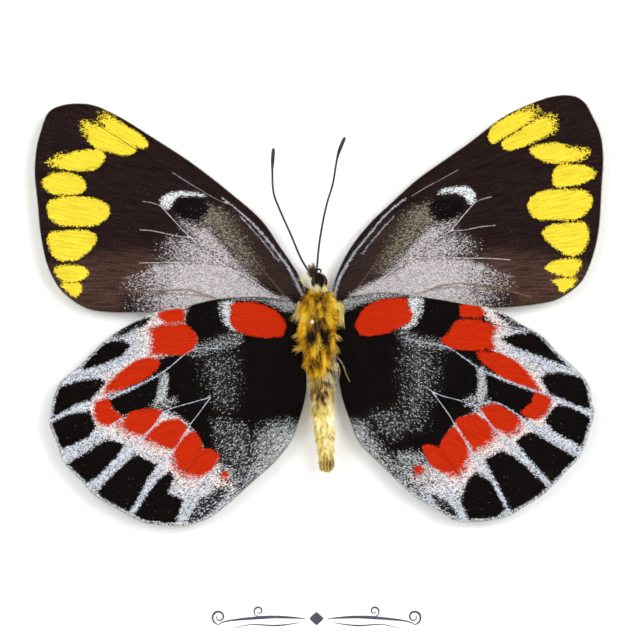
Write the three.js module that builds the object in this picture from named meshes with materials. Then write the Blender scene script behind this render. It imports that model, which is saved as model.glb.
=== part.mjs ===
import * as THREE from 'three';
import { ParametricGeometry } from 'three/addons/geometries/ParametricGeometry.js';
import { mergeVertices } from 'three/addons/utils/BufferGeometryUtils.js';

// A framed butterfly: a dry specimen with its underside showing, held on white card in a deep frame.
// The frame stands on its bottom rail with the glass towards -Y. The origin is under the frame's middle.

// Driving sizes of the frame, in millimetres
const FRAME_WIDTH = 152;
const FRAME_HEIGHT = 127;
const FRAME_FRONT = -16;
const RAIL_BACK = 14;
const RAIL_FACE = 12;
const RAIL_WALL = 8;
const LIP_BACK = -12;
const MITRE_GAP = 0.1;
const GLASS_THICK = 2;
const GLASS_OPACITY = 0.12;
const CARD_FRONT = 6;
const CARD_THICK = 3;
const BACKING_THICK = 3;
const SPACER_THICK = 3.2;
const PAPER_THICK = 0.3;
const PAPER_INSET = 3;
const CLEARANCE = 0.1;
const BUMPER_RADIUS = 3.5;
const BUMPER_HEIGHT = 1.5;
const HANGER_WIDTH = 44;
const HANGER_HEIGHT = 6;
const HANGER_THICK = 0.8;
const HANGER_TEETH = 10;
const TOOTH_PITCH = 2.8;
const TOOTH_DEPTH = 1.2;
const NAIL_SPACING = 36;
const NAIL_RADIUS = 1.6;

// Driving sizes of the specimen, in millimetres
const WINGSPAN = 70;
const WING_THICK = 0.22;
const WING_EDGE_THICK = 0.12;
const FOREWING_ROOT_Y = 3.9;
const HINDWING_ROOT_Y = 3.2;
const FOREWING_RISE = 0.8;
const HINDWING_RISE = 0.7;
const FOREWING_REACH = 33;
const HINDWING_REACH = 31;
const INNER_FOLD = 0.7;
const FLUTE_HEIGHT = 0.08;
const FOREWING_FLUTES = 8;
const HINDWING_FLUTES = 9;
const WING_COLUMNS = 44;
const WING_ROWS = 4;
const THORAX_Y = 2.3;
const THORAX_DEPTH_RATIO = 0.84;
const THORAX_RINGS = 22;
const LOCKS_AROUND = 7;
const LOCKS_ALONG = 6;
const LOCK_HEIGHT = 0.045;
const ABDOMEN_Y = 2.6;
const ABDOMEN_RADIUS = 1.34;
const ABDOMEN_TIP_RADIUS = 0.84;
const ABDOMEN_SEGMENTS = 8;
const GROOVE_DEPTH = 0.94;
const HEAD_Y = 3;
const HEAD_HALF_WIDTH = 1.12;
const HEAD_RADIUS = 1.05;
const TONGUE_TURNS = 1.3;
const TONGUE_RADIUS = 0.07;
const ANTENNA_RADIUS = 0.1;
const CLUB_RADIUS = 0.2;
const LEG_RADIUS = 0.11;
const GLUE_RADIUS = 1.3;
const GLUE_BACK_GAP = 0.1;
const THORAX_BACK = 4.55;

// Where the specimen lies: its places are pixels of the 640 x 640 view, whose middle is VIEW_CENTRE_Z high
const VIEW_CENTRE_PX = 320;
const VIEW_CENTRE_Z = 70;
const LEFT_TIP_PX = 35.5;
const RIGHT_TIP_PX = 602.5;
const MM_PER_PX = WINGSPAN / (RIGHT_TIP_PX - LEFT_TIP_PX);

const DEPTH_AXIS = new THREE.Vector3(0, 1, 0);

const FOREWING_LEFT_PX = [
  [299, 276], [278, 244], [260, 219], [229, 192], [190, 162], [150, 136], [121, 118], [98, 107],
  [80, 104], [62, 106], [49, 113], [42, 130], [37, 150], [35.5, 175], [38, 200], [41, 232],
  [47, 262], [57, 284], [70, 298], [88, 308.5], [110, 312], [150, 312], [200, 311], [250, 308],
  [294, 303],
];
const FOREWING_RIGHT_PX = [
  [337, 275], [350, 249], [370, 223.5], [390, 204.5], [417, 180], [445, 160], [470, 142.5],
  [500, 119.5], [525, 106.5], [550, 97.5], [570, 96], [583, 102], [592, 117], [600, 136],
  [602.5, 160], [601, 186], [599.5, 215], [597, 237], [591, 260], [582, 280], [568, 293],
  [552, 301], [525, 305.5], [492, 308], [450, 309], [400, 307], [343, 303],
];
const HINDWING_LEFT_PX = [
  [285, 300.5], [262, 297.5], [235, 297.5], [210, 300.5], [180, 308], [156, 312], [139, 320],
  [119, 331], [104, 342], [91, 354.5], [79.5, 366.5], [63, 380.5], [56, 393], [51.5, 412],
  [50.5, 424], [58, 444], [65, 462], [81, 479], [97, 496], [120, 509.5], [144, 521.5],
  [170, 525], [191, 524], [211, 516], [232, 500], [255, 479], [274, 462], [291, 440],
  [302, 410], [306, 385], [302, 350],
];
const HINDWING_RIGHT_PX = [
  [352, 296], [385, 293], [415, 296], [445, 300.5], [470, 305], [495, 309.5], [520, 324],
  [541, 336], [557, 353], [575, 369], [587, 384], [591, 402], [593, 414], [588, 432],
  [580, 455], [567, 469], [556, 481], [541, 495], [522, 507], [503, 517], [475, 521],
  [455, 520], [437, 509], [412, 494], [395, 478], [380, 463], [360, 443], [350, 420],
  [342, 396], [338.5, 370], [339, 345],
];
const HINGE_PX = {
  forewingLeft: [[305, 295], [303.5, 306]],
  forewingRight: [[332, 294], [333.5, 305]],
  hindwingLeft: [[297.5, 306], [297.5, 328]],
  hindwingRight: [[339, 304], [339, 326]],
};
const ANTENNA_LEFT_PX = [
  [307.5, 270], [300, 256.5], [290.5, 234], [279, 208], [273.5, 192], [272.4, 170], [273.5, 148],
];
const ANTENNA_RIGHT_PX = [
  [317.3, 267], [319, 246], [322.5, 224], [327, 203.5], [333, 183], [337.7, 156], [345, 137],
];
// Each leg: its joints as [pixel across, pixel down, y in millimetres]
const LEGS = {
  leg_fore_left: [[301.5, 282.5, 2.5], [307, 286.5, 2.1], [311, 289.5, 1.6]],
  leg_fore_right: [[328.5, 289, 2.0], [325, 286, 1.5], [322, 288.5, 1.2]],
  leg_mid_left: [[314.5, 303, 0.1], [316, 316, -0.2], [317.5, 330, -0.2], [317, 345, 0.1]],
  leg_mid_right: [[336.5, 356, 2.1], [342.5, 364.5, 2.1], [346, 374, 2.3], [349.5, 381, 2.5]],
  leg_hind_left: [[314.5, 379, 1.1], [317, 389, 0.95], [320, 400, 0.95]],
  leg_hind_right: [[333, 358, 2.3], [339, 367, 2.2], [339, 377, 2.3], [336.5, 386, 2.4]],
};

function place(px, py, y = 0) {
  const x = (px - VIEW_CENTRE_PX) * MM_PER_PX;
  const z = VIEW_CENTRE_Z - (py - VIEW_CENTRE_PX) * MM_PER_PX;
  return new THREE.Vector3(x, y, z);
}

// Joins equal corners, drops faces without area and turns the faces outwards
function closed(geometry) {
  geometry.deleteAttribute('normal');
  geometry.deleteAttribute('uv');
  const merged = mergeVertices(geometry, 1e-4);
  const position = merged.getAttribute('position');
  const index = merged.getIndex();
  const corner = (i) => new THREE.Vector3().fromBufferAttribute(position, i);
  const faces = [];
  let volume = 0;
  for (let i = 0; i < index.count; i += 3) {
    const face = [index.getX(i), index.getX(i + 1), index.getX(i + 2)];
    if (new Set(face).size < 3) continue;
    const [a, b, c] = face.map(corner);
    volume += a.dot(b.cross(c));
    faces.push(face);
  }
  if (volume < 0) faces.forEach((face) => face.reverse());
  merged.setIndex(faces.flat());
  merged.computeVertexNormals();
  return merged;
}

function block(width, depth, height, x, y, z) {
  return new THREE.BoxGeometry(width, depth, height).translate(x, y, z);
}

// A round, tapering piece along a path. Each ring is [share of the path, radius].
function limb(path, rings, sides, depthRatio = 1, relief = () => 1) {
  const curve = new THREE.CatmullRomCurve3(path);
  const surface = (u, v, target) => {
    const [share, radius] = rings[Math.round(v * (rings.length - 1))];
    const along = curve.getTangentAt(share);
    const side = new THREE.Vector3().crossVectors(along, DEPTH_AXIS).normalize();
    const up = new THREE.Vector3().crossVectors(side, along).normalize();
    const turn = 2 * Math.PI * u;
    const reach = radius * relief(u, share);
    target.copy(curve.getPointAt(share));
    target.addScaledVector(side, reach * Math.cos(turn));
    target.addScaledVector(up, reach * depthRatio * Math.sin(turn));
  };
  return closed(new ParametricGeometry(surface, sides, rings.length - 1));
}

// One of the four rails: the rabbeted profile run along the side and cut at 45 degrees at both ends
function rail(side) {
  const profile = new THREE.Shape([
    new THREE.Vector2(0.6, FRAME_FRONT),
    new THREE.Vector2(RAIL_FACE - 3, FRAME_FRONT),
    new THREE.Vector2(RAIL_FACE - 0.8, FRAME_FRONT + 1),
    new THREE.Vector2(RAIL_FACE, FRAME_FRONT + 2.2),
    new THREE.Vector2(RAIL_FACE, LIP_BACK),
    new THREE.Vector2(RAIL_WALL, LIP_BACK),
    new THREE.Vector2(RAIL_WALL, RAIL_BACK),
    new THREE.Vector2(0.4, RAIL_BACK),
    new THREE.Vector2(0, RAIL_BACK - 0.4),
    new THREE.Vector2(0, FRAME_FRONT + 0.6),
  ]);
  const geometry = new THREE.ExtrudeGeometry(profile, { depth: 1, bevelEnabled: false });
  const position = geometry.getAttribute('position');
  const level = side === 'top' || side === 'bottom';
  const halfLength = (level ? FRAME_WIDTH : FRAME_HEIGHT) / 2 - MITRE_GAP / 2;
  for (let i = 0; i < position.count; i += 1) {
    const inward = position.getX(i);
    const y = position.getY(i);
    const along = (position.getZ(i) * 2 - 1) * (halfLength - inward);
    const across = (level ? FRAME_HEIGHT : FRAME_WIDTH) / 2 - inward;
    const outer = side === 'top' || side === 'right' ? across : -across;
    const x = level ? along : outer;
    const z = FRAME_HEIGHT / 2 + (level ? outer : along);
    position.setXYZ(i, x, y, z);
  }
  return closed(geometry);
}

// A wing: rays run from the hinge to the outline, on the front and back, over gentle lengthwise flutes
function wing(outlinePx, hingePx, midY, flutes) {
  const outline = new THREE.SplineCurve(outlinePx.map(([px, py]) => {
    const p = place(px, py);
    return new THREE.Vector2(p.x, p.z);
  }));
  const [hingeTop, hingeLow] = hingePx.map(([px, py]) => place(px, py));
  const rootX = hingeTop.x;
  const rootZ = (hingeTop.z + hingeLow.z) / 2;
  const steps = 2 * WING_ROWS + 2;
  const surface = (u, v, target) => {
    const step = Math.round(v * steps) % steps;
    const front = step <= WING_ROWS;
    const share = (front ? step : 2 * WING_ROWS + 1 - step) / WING_ROWS;
    const rim = outline.getPointAt(u);
    const hinge = hingeTop.clone().lerp(hingeLow, u);
    const x = THREE.MathUtils.lerp(hinge.x, rim.x, share);
    const z = THREE.MathUtils.lerp(hinge.z, rim.y, share);
    const ends = Math.min(1, u * WING_COLUMNS, (1 - u) * WING_COLUMNS);
    const half = ends * THREE.MathUtils.lerp(WING_THICK, WING_EDGE_THICK, share) / 2;
    const flute = FLUTE_HEIGHT * Math.sin(Math.PI * share) * Math.cos(2 * Math.PI * flutes * u);
    target.set(x, midY(x - rootX, z - rootZ) - flute + (front ? -half : half), z);
  };
  return closed(new ParametricGeometry(surface, WING_COLUMNS, steps));
}

function forewingY(dx, dz) {
  return FOREWING_ROOT_Y - FOREWING_RISE * Math.hypot(dx, dz) / FOREWING_REACH;
}

// The hindwing lies over the forewing, and its inner part folds back towards the card by the abdomen
function hindwingY(dx, dz) {
  const angle = Math.atan2(-dz, Math.abs(dx));
  const fold = THREE.MathUtils.smoothstep(angle, 1.1, 1.6);
  const reach = Math.min(1, Math.hypot(dx, dz) / HINDWING_REACH);
  return HINDWING_ROOT_Y - HINDWING_RISE * reach + INNER_FOLD * fold * Math.sin(Math.PI * reach);
}

// A cap or barrel of the head, turned about the X axis: rings are [x, radius]
function headPiece(rings) {
  const profile = rings.map(([x, radius]) => new THREE.Vector2(radius, x));
  const geometry = new THREE.LatheGeometry(profile, 16).rotateZ(-Math.PI / 2);
  const centre = place(319, 281, HEAD_Y);
  return closed(geometry.translate(centre.x, centre.y, centre.z));
}

function headRing(x) {
  return [x, HEAD_RADIUS * Math.sqrt(Math.max(0, 1 - (x / HEAD_HALF_WIDTH) ** 2))];
}

const framed = new THREE.Group();

function add(name, geometry, colour, roughness, metalness = 0) {
  const material = new THREE.MeshStandardMaterial({ color: colour, roughness, metalness });
  const mesh = new THREE.Mesh(geometry, material);
  mesh.name = name;
  framed.add(mesh);
  return mesh;
}

// The four mitred rails of dark stained wood
for (const side of ['top', 'bottom', 'left', 'right']) {
  add(`rail_${side}`, rail(side), 0x241a15, 0.45);
}

// Glass, mount card and backing board fill the rabbet behind the lip
const paneWidth = FRAME_WIDTH - 2 * RAIL_WALL - 4 * CLEARANCE;
const paneHeight = FRAME_HEIGHT - 2 * RAIL_WALL - 4 * CLEARANCE;
const middleZ = FRAME_HEIGHT / 2;
const glassFront = LIP_BACK + CLEARANCE;
const glassBack = glassFront + GLASS_THICK;
const cardBack = CARD_FRONT + CARD_THICK;
const backingFront = cardBack + CLEARANCE;
const layers = [
  ['glass', glassFront, GLASS_THICK, 0xe8f0ee, 0.05, GLASS_OPACITY],
  ['mount_card', CARD_FRONT, CARD_THICK, 0xfafaf8, 0.9, 1],
  ['backing_board', backingFront, BACKING_THICK, 0x9a6f45, 0.85, 1],
];
for (const [name, front, thick, colour, roughness, opacity] of layers) {
  const pane = block(paneWidth, thick, paneHeight, 0, front + thick / 2, middleZ);
  const { material } = add(name, pane, colour, roughness);
  material.opacity = opacity;
  material.transparent = opacity < 1;
}

// White spacer strips stand between the glass and the card, just behind the lip
const spacerFront = glassBack + CLEARANCE;
const spacerDepth = CARD_FRONT - CLEARANCE - spacerFront;
const spacerY = spacerFront + spacerDepth / 2;
const spacerOutX = paneWidth / 2 - SPACER_THICK / 2;
const spacerOutZ = paneHeight / 2 - SPACER_THICK / 2;
const sideSpacerHeight = paneHeight - 2 * SPACER_THICK - 2 * CLEARANCE;
for (const [name, side] of [['top', 1], ['bottom', -1]]) {
  const z = middleZ + side * spacerOutZ;
  add(`spacer_${name}`, block(paneWidth, spacerDepth, SPACER_THICK, 0, spacerY, z), 0xf4f4f1, 0.9);
}
for (const [name, side] of [['left', -1], ['right', 1]]) {
  const x = side * spacerOutX;
  const strip = block(SPACER_THICK, spacerDepth, sideSpacerHeight, x, spacerY, middleZ);
  add(`spacer_${name}`, strip, 0xf4f4f1, 0.9);
}

// The paper dust cover is glued across the back, with the hanger nailed over it at the top
const paperFront = RAIL_BACK + CLEARANCE;
const paperBack = paperFront + PAPER_THICK;
const paperWidth = FRAME_WIDTH - 2 * PAPER_INSET;
const paperHeight = FRAME_HEIGHT - 2 * PAPER_INSET;
const paperY = paperFront + PAPER_THICK / 2;
add('dust_cover', block(paperWidth, PAPER_THICK, paperHeight, 0, paperY, middleZ), 0xa8835a, 0.9);

const hangerOutline = [];
const toothedHalf = HANGER_TEETH * TOOTH_PITCH / 2;
hangerOutline.push(new THREE.Vector2(HANGER_WIDTH / 2, 0));
hangerOutline.push(new THREE.Vector2(HANGER_WIDTH / 2, HANGER_HEIGHT));
hangerOutline.push(new THREE.Vector2(-HANGER_WIDTH / 2, HANGER_HEIGHT));
hangerOutline.push(new THREE.Vector2(-HANGER_WIDTH / 2, 0));
for (let i = 0; i < HANGER_TEETH; i += 1) {
  const start = -toothedHalf + i * TOOTH_PITCH;
  hangerOutline.push(new THREE.Vector2(start, 0));
  hangerOutline.push(new THREE.Vector2(start + TOOTH_PITCH / 2, TOOTH_DEPTH));
}
hangerOutline.push(new THREE.Vector2(toothedHalf, 0));
const hangerShape = new THREE.Shape(hangerOutline);
const hanger = new THREE.ExtrudeGeometry(hangerShape, { depth: HANGER_THICK, bevelEnabled: false });
const hangerFront = paperBack + CLEARANCE;
const hangerZ = FRAME_HEIGHT - RAIL_WALL + 0.5;
hanger.rotateX(Math.PI / 2);
hanger.translate(0, hangerFront + HANGER_THICK, hangerZ);
add('hanger_plate', closed(hanger), 0xb9a25a, 0.35, 0.9);

// Nail heads hold the hanger's ends
for (const [name, side] of [['left', -1], ['right', 1]]) {
  const head = new THREE.LatheGeometry([
    new THREE.Vector2(0, 0),
    new THREE.Vector2(NAIL_RADIUS, 0),
    new THREE.Vector2(NAIL_RADIUS * 0.8, 0.4),
    new THREE.Vector2(NAIL_RADIUS * 0.4, 0.6),
    new THREE.Vector2(0, 0.65),
  ], 12);
  const y = hangerFront + HANGER_THICK + CLEARANCE;
  head.translate(side * NAIL_SPACING / 2, y, hangerZ + HANGER_HEIGHT / 2);
  add(`hanger_nail_${name}`, closed(head), 0xb9a25a, 0.35, 0.9);
}

// Soft bumpers keep the lower corners off a wall
for (const [name, side] of [['left', -1], ['right', 1]]) {
  const bumper = new THREE.CylinderGeometry(BUMPER_RADIUS, BUMPER_RADIUS * 0.9, BUMPER_HEIGHT, 20);
  const y = paperBack + CLEARANCE + BUMPER_HEIGHT / 2;
  bumper.translate(side * (FRAME_WIDTH / 2 - RAIL_WALL), y, RAIL_WALL);
  add(`bumper_${name}`, closed(bumper), 0x2b2b2b, 0.95);
}

// Wings
add(
  'forewing_left',
  wing(FOREWING_LEFT_PX, HINGE_PX.forewingLeft, forewingY, FOREWING_FLUTES),
  0x2a2023, 0.85,
);
add(
  'forewing_right',
  wing(FOREWING_RIGHT_PX, HINGE_PX.forewingRight, forewingY, FOREWING_FLUTES),
  0x2a2023, 0.85,
);
add(
  'hindwing_left',
  wing(HINDWING_LEFT_PX, HINGE_PX.hindwingLeft, hindwingY, HINDWING_FLUTES),
  0xc8321a, 0.85,
);
add(
  'hindwing_right',
  wing(HINDWING_RIGHT_PX, HINGE_PX.hindwingRight, hindwingY, HINDWING_FLUTES),
  0xc8321a, 0.85,
);

// Thorax: a furry barrel whose hair lies in locks, narrowing to the waist
const locks = (u, share) => {
  const around = Math.cos(2 * Math.PI * LOCKS_AROUND * u);
  return 1 + LOCK_HEIGHT * around * Math.cos(2 * Math.PI * LOCKS_ALONG * share);
};
const thoraxPath = [
  place(319.5, 291, THORAX_Y),
  place(318, 325, THORAX_Y),
  place(317.5, 376.5, THORAX_Y + 0.3),
];
const thoraxProfile = new THREE.SplineCurve([
  [0, 0.3], [0.03, 1.35], [0.1, 2.0], [0.2, 2.4], [0.3, 2.5], [0.4, 2.5], [0.5, 2.45],
  [0.6, 2.3], [0.68, 2.0], [0.76, 1.6], [0.86, 1.45], [0.94, 1.25], [1, 0.5],
].map(([share, radius]) => new THREE.Vector2(share, radius)));
const thoraxRings = thoraxProfile.getSpacedPoints(THORAX_RINGS).map((point) => [point.x, point.y]);
const thoraxCapped = [[0, 0], ...thoraxRings, [1, 0]];
add('thorax', limb(thoraxPath, thoraxCapped, 24, THORAX_DEPTH_RATIO, locks), 0xd9a01e, 0.95);

// Abdomen: eight rings, tapering to a blunt brown tip
const abdomenPath = [
  place(322, 378.5, ABDOMEN_Y), place(322.5, 411, ABDOMEN_Y), place(325, 440, ABDOMEN_Y + 0.1),
  place(326.5, 473, ABDOMEN_Y + 0.2),
];
const abdomenRings = [[0, 0], [0.008, 0.8], [0.025, 1.15]];
const ringsPerSegment = 3;
const ringCount = ABDOMEN_SEGMENTS * ringsPerSegment;
for (let i = 1; i < ringCount; i += 1) {
  const share = i / ringCount;
  const taper = THREE.MathUtils.smoothstep(share, 0.35, 0.95);
  const radius = THREE.MathUtils.lerp(ABDOMEN_RADIUS, ABDOMEN_TIP_RADIUS, taper);
  abdomenRings.push([share, i % ringsPerSegment === 0 ? radius * GROOVE_DEPTH : radius]);
}
abdomenRings.push([0.985, 0.62], [1, 0]);
add('abdomen', limb(abdomenPath, abdomenRings, 20, 0.95), 0xf0dc90, 0.8);

// Head: a short barrel with an eye capping each side
const barrel = [[-0.55, 0], ...[-0.55, -0.3, 0, 0.3, 0.55].map(headRing), [0.55, 0]];
add('head', headPiece(barrel), 0x2a1d16, 0.9);
const eye = [[0.6, 0], ...[0.6, 0.75, 0.9, 1.02, 1.09].map(headRing), [HEAD_HALF_WIDTH, 0]];
add('eye_right', headPiece(eye), 0x4a1a12, 0.25);
add('eye_left', headPiece(eye.map(([x, radius]) => [-x, radius]).reverse()), 0x3a1612, 0.25);

// Palps, coiled tongue, antennae and legs
const palpRings = [[0, 0], [0.03, 0.1], [0.3, 0.17], [0.6, 0.15], [0.9, 0.08], [1, 0]];
const palps = {
  palp_left: [place(310.3, 277, 1.7), place(309.6, 271, 1.8), place(309.3, 266, 2)],
  palp_right: [place(313.7, 275, 1.7), place(313.2, 269, 1.8), place(313.4, 263.5, 2)],
};
for (const [name, path] of Object.entries(palps)) {
  add(name, limb(path, palpRings, 8), 0x3a2a1c, 0.9);
}

const tonguePath = [];
const tongueSteps = 14;
for (let i = 0; i <= tongueSteps; i += 1) {
  const share = i / tongueSteps;
  const turn = 2 * Math.PI * TONGUE_TURNS * share;
  const radius = 3.1 - 1.3 * share;
  const across = 319 + radius * Math.cos(turn);
  tonguePath.push(place(across, 272 - radius * Math.sin(turn), 1.85 - 0.3 * share));
}
const tongueRings = [[0, 0]];
for (let i = 1; i < 2 * tongueSteps; i += 1) {
  tongueRings.push([i / (2 * tongueSteps), TONGUE_RADIUS]);
}
tongueRings.push([1, 0]);
add('proboscis', limb(tonguePath, tongueRings, 6), 0x2c1a10, 0.5);

const antennaRings = [[0, 0], [0.005, ANTENNA_RADIUS]];
for (let i = 1; i < 17; i += 1) {
  antennaRings.push([i / 20, ANTENNA_RADIUS]);
}
antennaRings.push([0.87, CLUB_RADIUS * 0.8], [0.92, CLUB_RADIUS], [0.97, CLUB_RADIUS * 0.9], [1, 0]);
for (const [name, pixels] of [['antenna_left', ANTENNA_LEFT_PX], ['antenna_right', ANTENNA_RIGHT_PX]]) {
  const path = pixels.map(([px, py], i) => place(px, py, 2.9 + 0.1 * i));
  add(name, limb(path, antennaRings, 6), 0x1d1714, 0.7);
}

const legRings = [[0, 0], [0.02, LEG_RADIUS]];
for (let i = 1; i < 9; i += 1) {
  legRings.push([i / 9, LEG_RADIUS * (1 - 0.35 * i / 9)]);
}
legRings.push([0.98, LEG_RADIUS * 0.5], [1, 0]);
for (const [name, joints] of Object.entries(LEGS)) {
  const path = joints.map(([px, py, y]) => place(px, py, y));
  add(name, limb(path, legRings, 6), 0xb09a70, 0.8);
}

// A spot of glue holds the back of the thorax to the card
const gluePlace = place(318.5, 325, 0);
const glue = new THREE.LatheGeometry([
  new THREE.Vector2(0, THORAX_BACK),
  new THREE.Vector2(GLUE_RADIUS * 0.5, THORAX_BACK + 0.05),
  new THREE.Vector2(GLUE_RADIUS * 0.85, THORAX_BACK + 0.5),
  new THREE.Vector2(GLUE_RADIUS, CARD_FRONT - GLUE_BACK_GAP),
  new THREE.Vector2(0, CARD_FRONT - GLUE_BACK_GAP),
], 16);
glue.translate(gluePlace.x, 0, gluePlace.z);
add('glue_spot', closed(glue), 0xe8dfc0, 0.3);

export default framed;
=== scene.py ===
import math

import bpy
import numpy as np
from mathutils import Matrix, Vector
from mathutils.geometry import delaunay_2d_cdt


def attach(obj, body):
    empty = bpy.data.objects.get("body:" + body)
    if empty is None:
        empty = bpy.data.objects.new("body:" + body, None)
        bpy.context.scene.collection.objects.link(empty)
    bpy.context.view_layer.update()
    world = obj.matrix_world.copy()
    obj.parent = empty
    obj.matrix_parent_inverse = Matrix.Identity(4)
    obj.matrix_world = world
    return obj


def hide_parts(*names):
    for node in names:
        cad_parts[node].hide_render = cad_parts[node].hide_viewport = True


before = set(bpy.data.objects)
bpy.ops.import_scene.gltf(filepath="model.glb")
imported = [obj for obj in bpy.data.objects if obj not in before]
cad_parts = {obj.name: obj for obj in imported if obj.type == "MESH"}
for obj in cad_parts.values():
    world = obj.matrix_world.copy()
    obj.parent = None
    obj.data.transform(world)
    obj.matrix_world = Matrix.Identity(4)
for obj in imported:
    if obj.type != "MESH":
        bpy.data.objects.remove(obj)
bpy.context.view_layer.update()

# View
# The camera stands square to the glass with a long lens, so the middle of the card fills the picture.
# The frame stands on a plain pale floor, with a large soft light in front at each side and one behind.
MM = 0.001
VIEW_CENTRE_PX = 320
VIEW_CENTRE_Z = 70.0
WINGSPAN = 70.0
LEFT_TIP_PX = 35.5
RIGHT_TIP_PX = 602.5
MM_PER_PX = WINGSPAN / (RIGHT_TIP_PX - LEFT_TIP_PX)
WING_PLANE_Y = 3.2
LENS_MM = 200.0
SENSOR_MM = 36.0
FLOOR_HALF = 1.5

camera_data = bpy.data.cameras.new("camera")
camera_data.lens = LENS_MM
camera_data.sensor_width = SENSOR_MM
camera_data.clip_start = 0.01
camera = bpy.data.objects.new("camera", camera_data)
bpy.context.collection.objects.link(camera)
camera_distance = 2 * VIEW_CENTRE_PX * MM_PER_PX * LENS_MM / SENSOR_MM
camera.location = (0, (WING_PLANE_Y - camera_distance) * MM, VIEW_CENTRE_Z * MM)
camera.rotation_euler = (math.pi / 2, 0, 0)
bpy.context.scene.camera = camera
bpy.context.scene.view_settings.view_transform = "Standard"


def add_light(name, place, target, size, watts):
    data = bpy.data.lights.new(name, "AREA")
    data.shape = "DISK"
    data.size = size
    data.energy = watts
    light = bpy.data.objects.new(name, data)
    bpy.context.collection.objects.link(light)
    light.location = place
    aim = Vector(target) - Vector(place)
    light.rotation_euler = aim.to_track_quat("-Z", "Y").to_euler()


add_light("soft_light_left", (-0.52, -0.9, 0.3), (0, 0, 0.07), 0.6, 3.8)
add_light("soft_light_right", (0.52, -0.9, 0.3), (0, 0, 0.07), 0.6, 5.4)
add_light("soft_light_back", (0.1, 0.8, 0.6), (0, 0, 0.06), 0.6, 3.0)


class Nodes:
    """A node tree. Adding a node gives back its outputs."""

    def __init__(self, tree):
        self.tree = tree

    def add(self, kind, inputs=(), **settings):
        made = self.tree.nodes.new(kind)
        for key, value in settings.items():
            setattr(made, key, value)
        for socket, value in dict(inputs).items():
            if isinstance(value, bpy.types.NodeSocket):
                self.tree.links.new(value, made.inputs[socket])
            else:
                made.inputs[socket].default_value = value
        return made.outputs


class Finish(Nodes):
    """A material around one shader. What is the same all over is set on the shader's own sockets."""

    def __init__(self, name, **plain):
        self.material = bpy.data.materials.new(name)
        self.material.use_nodes = True
        super().__init__(self.material.node_tree)
        self.tree.nodes.clear()
        self.skin = self.tree.nodes.new("ShaderNodeBsdfPrincipled")
        for socket, value in plain.items():
            self.skin.inputs[socket.replace("_", " ")].default_value = value
        self.end = self.tree.nodes.new("ShaderNodeOutputMaterial")
        self.tree.links.new(self.skin.outputs[0], self.end.inputs["Surface"])

    def feed(self, socket, value):
        self.tree.links.new(value, self.skin.inputs[socket])


def linear(rgb):
    share = np.asarray(rgb, dtype=float) / 255
    return np.where(share <= 0.04045, share / 12.92, ((share + 0.055) / 1.055) ** 2.4)


def shade(rgb):
    return (*linear(rgb), 1.0)


def mesh_piece(name, points, faces, finish, smooth=True):
    mesh = bpy.data.meshes.new(name)
    mesh.from_pydata([tuple(p) for p in points], [], [tuple(f) for f in faces])
    mesh.materials.append(finish.material)
    mesh.polygons.foreach_set("use_smooth", [smooth] * len(mesh.polygons))
    mesh.update()
    piece = bpy.data.objects.new(name, mesh)
    bpy.context.collection.objects.link(piece)
    return piece


world = bpy.data.worlds.new("studio")
world.use_nodes = True
bpy.context.scene.world = world
studio = Nodes(world.node_tree)
studio.tree.nodes.clear()
gloss_ray = studio.add("ShaderNodeLightPath")["Is Glossy Ray"]
studio_grey = studio.add(
    "ShaderNodeMix", {0: gloss_ray, 6: (0.8, 0.8, 0.8, 1), 7: (0.1, 0.1, 0.1, 1)}, data_type="RGBA"
)[2]
studio_glow = studio.add("ShaderNodeBackground", {"Color": studio_grey, "Strength": 0.3})[0]
studio.add("ShaderNodeOutputWorld", {"Surface": studio_glow})

pale_floor = Finish("pale_floor", Roughness=0.8, Base_Color=shade((226, 224, 220)))
floor_corners = [(x * FLOOR_HALF, y * FLOOR_HALF, 0) for x, y in ((-1, -1), (1, -1), (1, 1), (-1, 1))]
floor = mesh_piece("floor", floor_corners, [(0, 1, 2, 3)], pale_floor, smooth=False)
floor.visible_glossy = False
floor.visible_transmission = False

# Mount card
# A 3 mm board faced with smooth white card. The specimen's glue spot sits on it, and a small printed
# ornament in dark violet ink stands below the specimen.
CARD_FRONT_Y = 6.0


def new_group(name, kind, inputs, outputs):
    """An empty node group and its inputs. A socket is given by name, kind and, if it has one, usual value."""
    group = Nodes(bpy.data.node_groups.new(name, kind))
    for way, sockets in (("INPUT", inputs), ("OUTPUT", outputs)):
        for label, sort, *usual in sockets:
            socket = group.tree.interface.new_socket(label, in_out=way, socket_type="NodeSocket" + sort)
            if usual:
                socket.default_value = usual[0]
    return group, group.add("NodeGroupInput")


def vectors(nodes, operation, first, second=(0, 0, 0), **other):
    return nodes.add("ShaderNodeVectorMath", {0: first, 1: second, **other}, operation=operation)[0]


def blend(finish, factor, first, second):
    return finish.add("ShaderNodeMix", {0: factor, 6: first, 7: second}, data_type="RGBA")[2]


def bump(finish, height, strength, distance, invert=False):
    raised = finish.add(
        "ShaderNodeBump", {"Height": height, "Strength": strength, "Distance": distance}, invert=invert
    )
    finish.feed("Normal", raised["Normal"])


mottling, given = new_group(
    "mottle", "ShaderNodeTree",
    [("Place", "Vector"), ("Stretch", "Vector"), ("Scale", "Float"), ("Detail", "Float"),
     ("Distortion", "Float")],
    [("Mottle", "Float")],
)
stretched = vectors(mottling, "MULTIPLY", given["Place"], given["Stretch"])
cloud_inputs = {key: given[key] for key in ("Scale", "Detail", "Distortion")}
clouds = mottling.add("ShaderNodeTexNoise", {"Vector": stretched, **cloud_inputs})
mottling.add("NodeGroupOutput", {"Mottle": clouds["Fac"]})


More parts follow.
